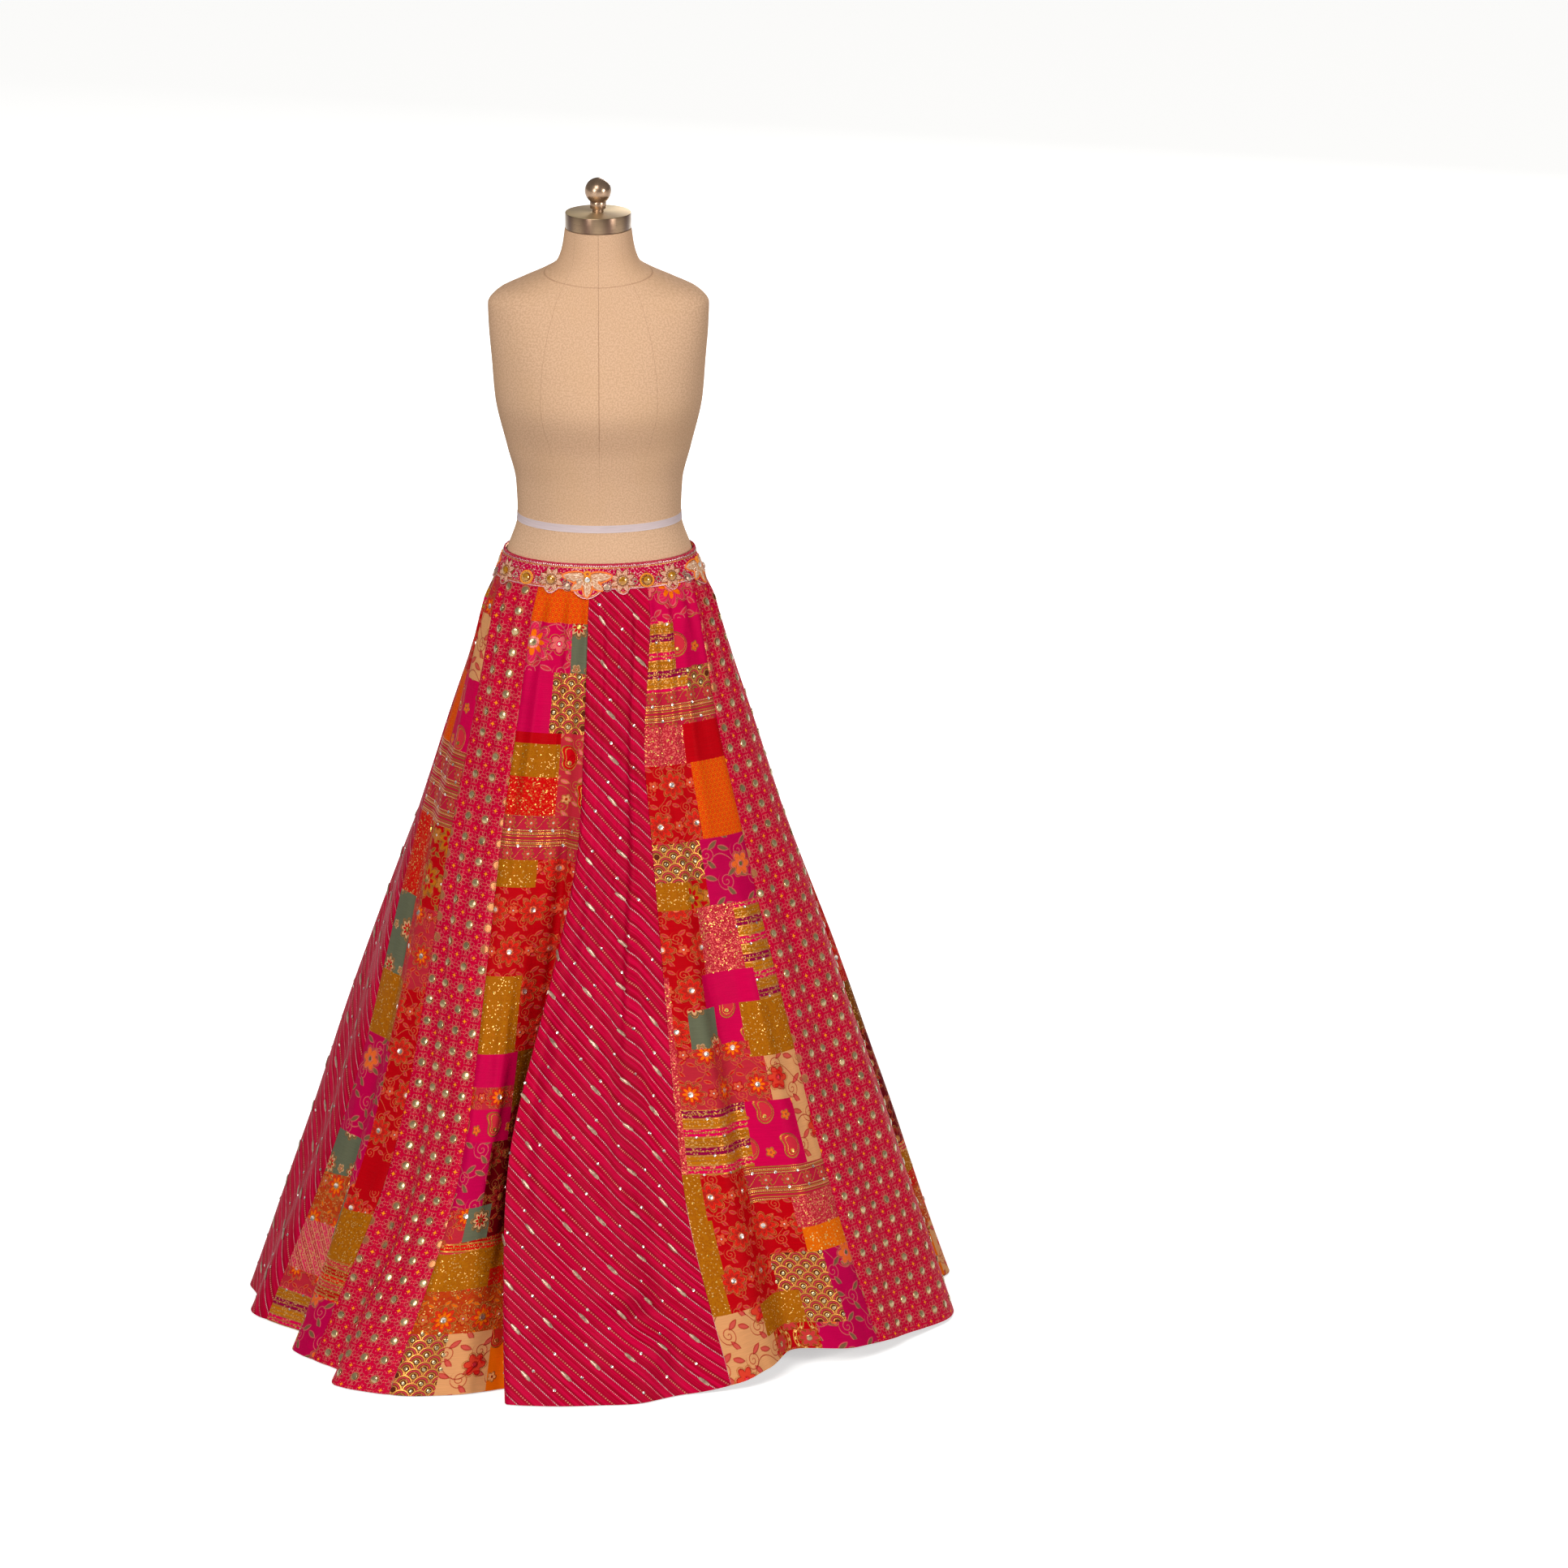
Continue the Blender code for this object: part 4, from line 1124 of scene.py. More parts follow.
# %% Patch tables
PATCHES = {
    1: (
        (7, (1, "magenta_flower")),
        (13, (0.45, "stripes"), (1, "magenta_paisley")),
        (16, (0.6, "stripes"), (1, "scales")),
        (20, (1, "coral_band")),
        (25, (0.5, "coral_glitter"), (1, "red_plain")),
        (34, (0.55, "crimson_floral"), (1, "orange_dots")),
        (38.5, (0.5, "scales"), (1, "magenta_vine")),
        (42, (0.3, "mustard"), (0.5, "gold_flower"), (1, "magenta_vine")),
        (50, (0.35, "crimson_floral"), (0.7, "coral_glitter"), (1, "stripes")),
        (54, (0.05, "coral_glitter"), (0.30, "crimson_floral"), (0.78, "magenta_plain"), (1, "stripes")),
        (58.5, (0.05, "coral_glitter"), (0.14, "crimson_floral"), (0.40, "sage"),
         (0.60, "magenta_paisley"), (1, "mustard")),
        (60.5, (0.05, "coral_glitter"), (0.62, "coral_floral"), (1, "mustard")),
        (66, (0.05, "coral_glitter"), (0.70, "coral_floral"), (1, "peach_vine")),
        (74, (0.05, "coral_glitter"), (0.52, "stripes"), (0.85, "magenta_paisley"), (1, "peach_vine")),
        (78.5, (0.1, "mustard"), (0.45, "crimson_floral"), (1, "coral_band")),
        (82.5, (0.12, "mustard"), (0.68, "crimson_floral"), (1, "coral_glitter")),
        (86, (0.12, "mustard"), (0.7, "crimson_floral"), (1, "orange")),
        (91, (0.1, "mustard"), (0.5, "crimson_floral"), (0.8, "scales"), (1, "magenta_vine")),
        (96, (0.3, "peach_vine"), (0.6, "mustard"), (0.82, "scales"), (1, "magenta_vine")),
        (100, (0.35, "peach_vine"), (0.65, "medallion"), (1, "magenta_vine")),
    ),
    11: (
        (7, (1, "orange_dots")),
        (13, (0.72, "magenta_flower"), (1, "sage")),
        (20.5, (0.45, "magenta_plain"), (1, "scales")),
        (22, (0.65, "red_plain"), (1, "coral_paisley")),
        (26, (0.65, "mustard"), (1, "coral_paisley")),
        (31, (0.65, "red_glitter"), (1, "coral_paisley")),
        (36, (1, "coral_band")),
        (39, (0.5, "mustard"), (1, "crimson_floral")),
        (50, (1, "crimson_floral")),
        (59, (0.45, "mustard"), (1, "crimson_floral")),
        # Painted shade: down to the 81.3 row, the right part takes the darker copies of mustard and crimson
        # floral, where the valley lies in shadow.
        (63, (0.5, "magenta_plain"), (1, "dark_mustard")),
        (66, (0.5, "coral_floral"), (1, "dark_mustard")),
        (70, (0.5, "magenta_paisley"), (1, "maroon_floral")),
        (77, (0.32, "magenta_vine"), (1, "maroon_floral")),
        (81.3, (0.18, "coral_floral"), (0.42, "sage"), (1, "maroon_floral")),
        (82.4, (1, "red_stripe")),
        (85.2, (1, "mustard")),
        (87.5, (0.5, "mustard"), (1, "red_glitter")),
        (92.5, (0.78, "orange_floral"), (1, "coral_band")),
        (100, (0.28, "scales"), (0.6, "peach_vine"), (1, "orange_paisley")),
    ),
    9: (
        (8, (0.5, "stripes"), (1, "coral_floral")),
        (16, (0.6, "crimson_floral"), (1, "peach_vine")),
        (25, (0.4, "orange_dots"), (1, "magenta_paisley")),
        (34, (1, "coral_band")),
        (44, (0.5, "red_glitter"), (1, "gold_flower")),
        (54, (0.35, "sage"), (1, "coral_floral")),
        (62, (0.6, "mustard"), (1, "crimson_floral")),
        (75, (0.75, "magenta_vine"), (1, "crimson_floral")),
        (79, (0.35, "sage"), (0.75, "magenta_vine"), (1, "red_plain")),
        (82, (0.45, "orange_floral"), (0.7, "sage"), (1, "crimson_floral")),
        (86, (0.45, "orange_floral"), (0.7, "sage"), (1, "mustard")),
        (88, (0.7, "diagonal"), (1, "mustard")),
        (93, (0.7, "diagonal"), (1, "red_stripe")),
        (95, (0.7, "coral_floral"), (1, "magenta_vine")),
        (100, (0.75, "stripes"), (1, "magenta_vine")),
    ),
}
STRIPED_PANELS = (0, 4, 8)
FLOWER_PANELS = (2, 6, 10)
PATCHED_PANELS = (1, 3, 5, 7, 9, 11)
# Panel: its table, and whether the table is mirrored
TABLES = {1: (1, False), 11: (11, False), 9: (9, False), 3: (11, True), 5: (1, True), 7: (9, True)}
# Share down the panel, and how much lower the row's left end is than its right end
TILTS = ((0.0, 0.0), (0.60, 0.0), (0.74, -0.006), (0.785, 0.020), (0.83, 0.012), (0.92, 0.0), (1.0, 0.0))


def tilt(down):
    shares, drops = zip(*TILTS)
    return np.interp(down, shares, drops)


def cloth_at(index, across, down):
    """The name of the cloth at shares across and down a panel."""
    if index % 4 == 0:
        return "leheriya"
    if index % 2 == 0:
        return "buti"
    table, mirrored = TABLES[index]
    if mirrored:
        across = 1 - across
    rows = PATCHES[table]
    row = next((row for row in rows if down * 100 < row[0]), rows[-1])
    return next((name for share, name in row[1:] if across < share), row[-1][1])


# %% [markdown]
# A panel starts as a flat grid from Add Mesh. Its vertices are then moved onto the drape, as a dresser
# would arrange the cut cloth on the form, and each face takes the silk of its patch. The grid is the
# outer face; a Solidify modifier adds the wall inwards and gives the wall the silk's reverse.

# %% Reverse of the cloth
COLUMNS = 48
ROWS = 150
PANEL_WALL = 0.0012


def reverse_silk():
    made = Cloth("reverse_silk", paint(150, 6, 44), rough=0.7, slub=1.4)
    x, y = lattice(made.u, made.v, 0.018, 0.009)
    made.layer((0.0012 - distance(x, y).size()).inside() * 0.5, paint(190, 70, 80), 0.0002)
    return made.finish()


REVERSE = reverse_silk()

# %% Drape the panels


def apply_modifier(piece, kind, **settings):
    lone_selection()
    bpy.context.view_layer.objects.active = piece
    piece.select_set(True)
    added = piece.modifiers.new(kind.title(), kind)
    for key, value in settings.items():
        setattr(added, key, value)
    bpy.ops.object.modifier_apply(modifier=added.name)


def smooth(piece, degrees=40):
    lone_selection()
    bpy.context.view_layer.objects.active = piece
    piece.select_set(True)
    bpy.ops.object.shade_smooth_by_angle(angle=math.radians(degrees))


def corner_map(piece, name, values):
    """Gives a piece's map one pair of numbers per vertex."""
    mesh = piece.data
    while mesh.uv_layers:
        mesh.uv_layers.remove(mesh.uv_layers[0])
    made = mesh.uv_layers.new(name=name)
    corners = np.empty(len(mesh.loops), np.int32)
    mesh.loops.foreach_get("vertex_index", corners)
    made.data.foreach_set("uv", values[corners].astype(np.float32).ravel())


def vertex_places(piece):
    flat = np.empty(len(piece.data.vertices) * 3)
    piece.data.vertices.foreach_get("co", flat)
    return flat.reshape(-1, 3)


def move_vertices(piece, points):
    piece.data.vertices.foreach_set("co", np.asarray(points, float).ravel())
    piece.data.update()


def make_panel(index):
    lone_selection()
    bpy.ops.mesh.primitive_grid_add(x_subdivisions=COLUMNS, y_subdivisions=ROWS, size=1)
    panel = bpy.context.object
    panel.name = f"panel_{index:02d}"
    flat = vertex_places(panel)
    across, row_share = flat[:, 0] + 0.5, 0.5 - flat[:, 1]
    patched = index % 2 == 1
    down = row_share + (tilt(row_share) * (0.5 - across) if patched else 0.0)
    down = np.clip(down, 0, 1)
    inset = SEAM_GAP / 2 / np.interp(down, LOOK_UP, MEASURES[index][0])
    place = index + inset + (1 - 2 * inset) * across
    move_vertices(panel, hang(place, CLOTH_TOP * (1 - down)))
    corner_map(panel, "cloth", np.stack(to_flat(index, across, down), -1))
    middles = np.array([
        flat[list(face.vertices)].mean(axis=0)[:2] for face in panel.data.polygons
    ])
    names = [cloth_at(index, x + 0.5, 0.5 - y) for x, y in middles]
    used = sorted(set(names))
    for name in used:
        panel.data.materials.append(SILKS[name])
    panel.data.materials.append(REVERSE)
    panel.data.polygons.foreach_set("material_index", [used.index(name) for name in names])
    apply_modifier(
        panel, "SOLIDIFY", thickness=PANEL_WALL, offset=-1, material_offset=len(used),
        material_offset_rim=0, use_even_offset=False,
    )
    smooth(panel, 60)
    node = f"kali_{index:02d}"
    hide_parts(node)
    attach(panel, "root")
    widths, drops = MEASURES[index]
    area = float(np.sum((widths[1:] + widths[:-1]) / 2 * np.diff(drops)))
    return panel


panels = [make_panel(index) for index in range(12)]
print("Panels:", sum(len(panel.data.polygons) for panel in panels), "faces")

# %% [markdown]
# Mirrors, sequins and metal clusters stand off the cloth and catch the light, so they are meshes. One
# pattern piece is modelled from a primitive, and then one joined mesh repeats it at every seat.
# Its vertices are written from arrays, because thousands of separate objects would slow every step.
# Its vertices are written from arrays, because thousands of separate objects would slow every step.

# %% Model small pattern pieces


def start_piece(name):
    piece = bpy.context.object
    piece.name = name
    return piece


def pick_none(piece):
    """Leaves none of a piece's vertices, edges and faces selected."""
    bpy.ops.object.mode_set(mode="OBJECT")
    for part in (piece.data.vertices, piece.data.edges, piece.data.polygons):
        part.foreach_set("select", [False] * len(part))


def pick(piece, test):
    """Selects the faces whose middle and normal pass a test, in edit mode."""
    pick_none(piece)
    for face in piece.data.polygons:
        face.select = bool(test(face.center, face.normal))
    bpy.ops.object.mode_set(mode="EDIT")
    bpy.ops.mesh.select_mode(type="FACE")


def mirror_disc():
    """A round mirror with a bevelled foil edge, radius 1."""
    lone_selection()
    bpy.ops.mesh.primitive_circle_add(vertices=12, radius=1.0, fill_type="NGON")
    piece = start_piece("mirror_pattern")
    bpy.ops.object.mode_set(mode="EDIT")
    bpy.ops.mesh.select_all(action="SELECT")
    bpy.ops.mesh.extrude_region_move(TRANSFORM_OT_translate={"value": (0, 0, 0.16)})
    bpy.ops.mesh.inset(thickness=0.18, depth=0.10)
    bpy.ops.object.mode_set(mode="OBJECT")
    return piece


def sequin_cup():
    """A cupped sequin with eight sides, radius 1."""
    lone_selection()
    bpy.ops.mesh.primitive_circle_add(vertices=8, radius=1.0, fill_type="NGON")
    piece = start_piece("sequin_pattern")
    bpy.ops.object.mode_set(mode="EDIT")
    bpy.ops.mesh.select_all(action="SELECT")
    bpy.ops.mesh.extrude_region_move(TRANSFORM_OT_translate={"value": (0, 0, 0.30)})
    bpy.ops.mesh.inset(thickness=0.45, depth=-0.14)
    bpy.ops.object.mode_set(mode="OBJECT")
    return piece


def boat_cluster():
    """A pointed cluster of wire, 2 long and pinched at its ends."""
    lone_selection()
    bpy.ops.mesh.primitive_cylinder_add(vertices=8, radius=0.5, depth=2.0, rotation=(0, math.pi / 2, 0))
    piece = start_piece("boat_pattern")
    bpy.ops.object.transform_apply(location=True, rotation=True, scale=True)
    bpy.ops.object.mode_set(mode="EDIT")
    for cut in (-0.5, 0.0, 0.5):
        bpy.ops.mesh.select_all(action="SELECT")
        bpy.ops.mesh.bisect(plane_co=(cut, 0, 0), plane_no=(1, 0, 0))
    pick(piece, lambda middle, normal: abs(normal.x) > 0.9)
    bpy.ops.transform.resize(value=(1, 0.62, 0.40))
    bpy.ops.object.mode_set(mode="OBJECT")
    return piece


def bead():
    """A small round bead, radius 1."""
    lone_selection()
    bpy.ops.mesh.primitive_ico_sphere_add(subdivisions=1, radius=1.0)
    piece = start_piece("bead_pattern")
    bpy.ops.object.mode_set(mode="EDIT")
    bpy.ops.mesh.select_all(action="SELECT")
    bpy.ops.transform.resize(value=(1, 1, 0.85))
    bpy.ops.object.mode_set(mode="OBJECT")
    return piece


def cut_stone():
    """A round stone with a flat top and a ring of facets, radius 1."""
    lone_selection()
    bpy.ops.mesh.primitive_cylinder_add(vertices=10, radius=1.0, depth=0.5, location=(0, 0, 0.25))
    piece = start_piece("stone_pattern")
    bpy.ops.object.transform_apply(location=True, rotation=True, scale=True)
    pick(piece, lambda middle, normal: normal.z > 0.9)
    bpy.ops.mesh.inset(thickness=0.42, depth=0.22)
    bpy.ops.object.mode_set(mode="OBJECT")
    return piece


def petal(name, length, width, crown, blunt=0.0):
    """A padded petal from its root at 0 along +X: a grid that is narrowed column by column and crowned."""
    lone_selection()
    bpy.ops.mesh.primitive_grid_add(x_subdivisions=12, y_subdivisions=6, size=1, location=(0.5, 0, 0))
    piece = start_piece(name)
    bpy.ops.object.transform_apply(location=True, rotation=True, scale=True)
    flat = vertex_places(piece)
    columns = np.unique(flat[:, 0].round(5))
    for place in columns:
        pick_none(piece)
        for vertex in piece.data.vertices:
            vertex.select = abs(vertex.co.x - place) < 1e-3
        bpy.ops.object.mode_set(mode="EDIT")
        bpy.ops.mesh.select_mode(type="VERT")
        full = 0.02
        if 0 < place < 1:
            full = max(math.sin(math.pi * place ** (0.8 - 0.2 * blunt)) ** (0.8 - 0.3 * blunt), full)
        bpy.ops.transform.resize(value=(1, full * width, 1), center_override=(place, 0, 0))
    bpy.ops.mesh.select_all(action="SELECT")
    bpy.ops.transform.resize(value=(length, 1, 1), center_override=(0, 0, 0))
    bpy.ops.object.mode_set(mode="OBJECT")
    shaped = vertex_places(piece)
    across = flat[:, 1] * 2
    ends = np.clip(np.sin(math.pi * np.clip(flat[:, 0], 0.02, 0.98)) * 2.2, 0, 1)
    shaped[:, 2] = crown * np.sqrt(np.clip(1 - across**2 * 0.96, 0, 1)) * ends
    move_vertices(piece, shaped)
    return piece


# %% Repeat a pattern piece


def repeat_piece(name, pattern, points, look, degrees):
    """One joined mesh of a pattern piece's copies; points holds each copy's vertices."""
    count = len(pattern.data.vertices)
    faces = [tuple(face.vertices) for face in pattern.data.polygons]
    all_faces = [
        tuple(corner + copy * count for corner in face) for copy in range(len(points)) for face in faces
    ]
    mesh = bpy.data.meshes.new(name)
    mesh.from_pydata(points.reshape(-1, 3).tolist(), [], all_faces)
    mesh.materials.append(look)
    source = np.empty(len(pattern.data.loops) * 2, np.float32)
    pattern.data.uv_layers[0].data.foreach_get("uv", source)
    mesh.uv_layers.new(name="petal").data.foreach_set("uv", np.tile(source, len(points)))
    joined = bpy.data.objects.new(name, mesh)
    bpy.context.scene.collection.objects.link(joined)
    smooth(joined, degrees)
    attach(joined, "root")
    return joined


def strew(name, pattern, points, right, up, out, size, look, slot="band_silk"):
    """A pattern piece at many seats, scaled by an x, y and z size."""
    scaled = vertex_places(pattern)[None] * np.array(size)
    spread = (
        points[:, None]
        + scaled[..., 0:1] * right[:, None]
        + scaled[..., 1:2] * up[:, None]
        + scaled[..., 2:3] * out[:, None]
    )
    return repeat_piece(name, pattern, spread, look, 35)


def discard(piece):
    mesh = piece.data
    bpy.data.objects.remove(piece)
    bpy.data.meshes.remove(mesh)


# %% [markdown]
# Mirror, foil and crystal are near to the cloth in a photograph but far from it in finish: smooth, bright
# and a little uneven. Each has a faint mottle in its colour and roughness, so that no two mirrors answer
# the lamps alike. The mirrors' mottle is strong, from dark olive to pale gold, one shade to each mirror: a
# painted reflection of mirrors that catch or miss the light.

# %% Bright finishes


def bright_finish(name, light, dark, rough, metal, scale=420.0, coat=0.0):
    made, tree, shader = new_material(name)
    where = tree.nodes.new("ShaderNodeTexCoord")
    mottle = tree.nodes.new("ShaderNodeTexNoise")
    mottle.inputs["Scale"].default_value = scale
    mottle.inputs["Detail"].default_value = 2.0
    tree.links.new(where.outputs["Object"], mottle.inputs["Vector"])
    tree.links.new(mix_colours(tree, mottle.outputs[0], dark, light), shader.inputs["Base Color"])
    spread_roughness(tree, shader, mottle.outputs[0], max(rough - 0.10, 0.04), rough + 0.12)
    emboss(tree, shader, mottle.outputs[0], 0.6, 0.0002)
    shader.inputs["Metallic"].default_value = metal
    shader.inputs["Coat Weight"].default_value = coat
    return made


# Painted reflection: each mirror gets one colour between dark olive and pale gold, standing for what it
# reflects.
MIRROR_PAINTED_REFLECTION = bright_finish("mirror_painted_reflection", paint(236, 206, 152), paint(70, 50, 28), 0.24, 0.65, 90.0)
GOLD_FOIL = bright_finish("gold_foil", paint(232, 188, 96), paint(150, 104, 40), 0.30, 0.85)
SILVER_FOIL = bright_finish("silver_foil", paint(238, 228, 220), paint(160, 140, 128), 0.26, 0.85)
GREY_WIRE = bright_finish("grey_gold_wire", paint(214, 184, 156), paint(112, 66, 54), 0.34, 0.6, 260.0)
CRYSTAL = bright_finish("crystal", paint(244, 240, 232), paint(176, 168, 156), 0.08, 0.35, 300.0, 0.6)
AMBER = bright_finish("amber_crystal", paint(230, 160, 24), paint(110, 52, 4), 0.10, 0.2, 300.0, 0.6)

# %% Mirrors of the small-flower panels


def lattice_seats(index, across, down, stagger=0.5, slide=0.0, names=None):
    """Flat places of a lattice's middles that fall on a panel, or only on the patches named."""
    widths, drops = MEASURES[index]
    rows = np.arange(math.floor(-drops[-1] / down) - 1, 1)
    reach = int(widths.max() / across) + 3
    columns = np.arange(-reach, reach)
    column, row = np.meshgrid(columns, rows)
    u = (column + 0.5) * across - np.mod(row, 2) * across * stagger - slide
    v = (row + 0.5) * down
    share, fall = from_flat(index, u, v)
    margin = 0.006 / np.interp(fall, LOOK_UP, widths)
    keep = (share > margin) & (share < 1 - margin) & (-v > 0.043) & (-v < drops[-1] - 0.006)
    share, fall = share[keep], fall[keep]
    if names:
        straight = fall - tilt(fall) * (0.5 - share)
        wanted = [cloth_at(index, *pair) in names for pair in zip(share, straight)]
        share, fall = share[wanted], fall[wanted]
    return share, fall


def cloth_seats(index, share, fall):
    inset = SEAM_GAP / 2 / np.interp(fall, LOOK_UP, MEASURES[index][0])
    return seat(index + inset + (1 - 2 * inset) * share, CLOTH_TOP * (1 - fall))


def gather_seats(picked):
    """Joins the seats of several panels into one set."""
    return [np.concatenate(group) for group in zip(*picked)]


chance = np.random.default_rng(7)


def wobble(right, up, out, amount=0.10):
    """Tips each seat a little, as hand sewing does."""
    lean = chance.normal(0, amount, (len(out), 2))
    tipped = unit(out + right * lean[:, :1] + up * lean[:, 1:])
    side = unit(np.cross(up, tipped))
    return side, np.cross(tipped, side), tipped


disc = mirror_disc()
spots = [cloth_seats(i, *lattice_seats(i, BUTI_ACROSS, BUTI_DOWN, 0.0)) for i in FLOWER_PANELS]
points, right, up, out = gather_seats(spots)
right, up, out = wobble(right, up, out)
strew("buti_mirrors", disc, points + out * 0.0001, right, up, out, (0.0049, 0.0049, 0.0038), MIRROR_PAINTED_REFLECTION,
      "flower_silk")
print("Mirrors:", len(points))

# %% [markdown]
# Along the leheriya's silver lines sit boat-shaped clusters of coiled wire, and along its gold lines
# bright sequins. Their seats come from the same numbers as the lines in the material, so every cluster
# lies on its line.

# %% Boats and sequins of the striped panels


def line_seats(index, kind, spacing, jitter):
    """Seats along one kind of falling line: shares across and down the panel."""
    widths, drops = MEASURES[index]
    reach = widths.max() / 2 + drops[-1]
    rows = np.arange(math.floor(-reach / LINE_GAP), math.ceil(reach / LINE_GAP))
    rows = rows[np.mod(rows, 3) == kind]
    picked = []
    for number, row in enumerate(rows):
        falling = (row + 0.5) * LINE_GAP
        along = np.arange(-reach, reach, spacing) + spacing * (0.37 * number % 1)
        along = along + chance.uniform(-jitter, jitter, len(along))
        picked.append(np.stack([falling + along, falling - along]) * math.sqrt(0.5))
    u, v = np.concatenate(picked, axis=1)
    share, fall = from_flat(index, u, v)
    margin = 0.010 / np.interp(fall, LOOK_UP, widths)
    keep = (share > margin) & (share < 1 - margin) & (-v > 0.055) & (-v < drops[-1] - 0.012)
    return share[keep], fall[keep]


spots = [cloth_seats(i, *line_seats(i, 0, 0.078, 0.010)) for i in STRIPED_PANELS]
points, right, up, out = gather_seats(spots)
falling_right, falling_up = unit(right - up), unit(right + up)
boat = boat_cluster()
strew("line_boats", boat, points + out * 0.0002, falling_right, falling_up, out, (0.0090, 0.0050, 0.0024),
      GREY_WIRE, "stripe_silk")
print("Boats:", len(points))
spots = [cloth_seats(i, *line_seats(i, 1, 0.050, 0.012)) for i in STRIPED_PANELS]
points, right, up, out = gather_seats(spots)
right, up, out = wobble(right, up, out, 0.16)
sequin = sequin_cup()
strew("line_sequins", sequin, points + out * 0.0002, right, up, out, (0.0021, 0.0021, 0.0021),
      SILVER_FOIL, "stripe_silk")
print("Sequins:", len(points))

# %% Sequins of the patchwork
FLOWER_SEATS = (
    (("magenta_flower",), 0.074, 0.074, MIRROR_PAINTED_REFLECTION, 0.0050),
    (("crimson_floral", "orange_floral"), 0.056, 0.056, SILVER_FOIL, 0.0036),
    (("coral_floral",), 0.054, 0.054, SILVER_FOIL, 0.0036),
    (("gold_flower",), 0.062, 0.062, GOLD_FOIL, 0.0046),
    (("sage",), 0.058, 0.058, GOLD_FOIL, 0.0032),
    (("magenta_paisley", "coral_paisley", "orange_paisley"), 0.058, 0.058 * 0.86, GOLD_FOIL, 0.0028),
    (("scales",), SCALE_PITCH, SCALE_RISE, MIRROR_PAINTED_REFLECTION, 0.0027),
    (("coral_band",), 0.030, 0.021, SILVER_FOIL, 0.0022),
    (("medallion",), 0.050, 0.025, MIRROR_PAINTED_REFLECTION, 0.0040),
    (("mustard", "red_glitter", "coral_glitter", "orange"), 0.024, 0.017, GOLD_FOIL, 0.0013),
    (("stripes",), 0.034, 0.025, SILVER_FOIL, 0.0019),
)
for number, (names, across, down, look, radius) in enumerate(FLOWER_SEATS):
    spots = [cloth_seats(i, *lattice_seats(i, across, down, names=names)) for i in PATCHED_PANELS]
    points, right, up, out = gather_seats(spots)
    right, up, out = wobble(right, up, out, 0.12)
    pattern = disc if look is MIRROR_PAINTED_REFLECTION else sequin
    strew(f"patch_sequins_{number}", pattern, points + out * 0.0002, right, up, out, (radius,) * 3, look,
          "patchwork")
    print("Sequins on", ", ".join(names) + ":", len(points))

# %% [markdown]
# The waistband is a stiff strip, fully covered with raised work: lotuses, eight-petalled flowers and
# round beaded bosses over hot pink silk, with a beaded cord on its scalloped lower edge. The silk strip is
# a grid wrapped round the form and closed at its ends. Its lower edge drops at every flower.

# %% Waistband strip
FIRST_LOTUS = -9.5
BAND_PIECES = ((0.0, "lotus"), (27.0, "flower"), (45.0, "round"), (63.0, "flower"))
TONGUES = {"lotus": (0.036, 0.0120), "flower": (0.0165, 0.0070), "round": (0.009, 0.0)}
BAND_SIDES = 360
BAND_RINGS = 10
BAND_SKIN = 0.0016
BAND_MIDDLE = 1.068
BAND_MAP_LENGTH = 0.720


def band_bottom(angle):
    """The scalloped lower edge."""
    radius = np.radians(body_radius(angle, np.full(angle.shape, BAND_MIDDLE)))
    bottom = np.full(angle.shape, WAISTBAND_BOTTOM)
    for quarter in range(4):
        for place, kind in BAND_PIECES:
            off = (np.mod(angle - FIRST_LOTUS - 90 * quarter - place + 180, 360) - 180) * radius
            half, drop = TONGUES[kind]
            tongue = drop * np.clip(1 - (off / (0.55 * half)) ** 2, 0, 1)
            bottom = np.minimum(bottom, WAISTBAND_BOTTOM - tongue)
    return bottom


def band_radius(angle, height):
    """The strip's inner face, clear of the gathered cloth behind it."""
    reach = np.maximum(height, WAISTBAND_BOTTOM)
    radius = body_radius(angle, np.minimum(reach, CLOTH_TOP)) + BODY_GAP + CLOTH_WALL
    hem = oval(angle, HEM_HALF_WIDTH, HEM_FRONT, HEM_BACK)
    descent = (WAISTBAND_BOTTOM - np.minimum(height, WAISTBAND_BOTTOM)) / WAISTBAND_BOTTOM
    return radius + (hem - radius) * descent + gather_height(height) + SEAM_GAP


def on_band(angle, height, out):
    return turned(angle, band_radius(angle, height) + out, 0.0, height) + AXIS


def band_seats(angle, height, out):
    """Points on the strip's face with their sideways, upward and outward directions."""
    angle, height, out = (np.asarray(value, float) for value in np.broadcast_arrays(angle, height, out))
    points = on_band(angle, height, out)
    sideways = unit(on_band(angle + 0.5, height, out) - on_band(angle - 0.5, height, out))
    upward = unit(on_band(angle, height + 0.001, out) - on_band(angle, height - 0.001, out))
    outward = unit(np.cross(sideways, upward))
    return points, sideways, np.cross(outward, sideways), outward


def band_silk():
    made = Cloth("band_silk", paint(204, 0, 66), rough=0.5, drape=0)
    x, y = lattice(made.u, made.v, 0.0064, 0.0032)
    made.layer((0.0008 - distance(x, y)).inside(), paint(226, 120, 120), 0.0005, 0.1, 0.4)
    grain, _ = made.grains(700)
    made.layer((grain - 0.86).inside(0.02) * 0.8, paint(240, 190, 180), 0.0004, 0.2, 0.4)
    scroll = (made.u * (2 * math.pi / 0.022)).sine() * 0.006
    made.layer(line(made.v - scroll + 0.020, 0.0012), GOLD, 0.0007, 0.75, 0.35)
    return made.finish()


def close_ring(reach):
    """Sews up the two ends of the grid that was just wrapped round the form."""
    bpy.ops.object.mode_set(mode="EDIT")
    bpy.ops.mesh.select_all(action="SELECT")
    bpy.ops.mesh.remove_doubles(threshold=reach)
    bpy.ops.object.mode_set(mode="OBJECT")


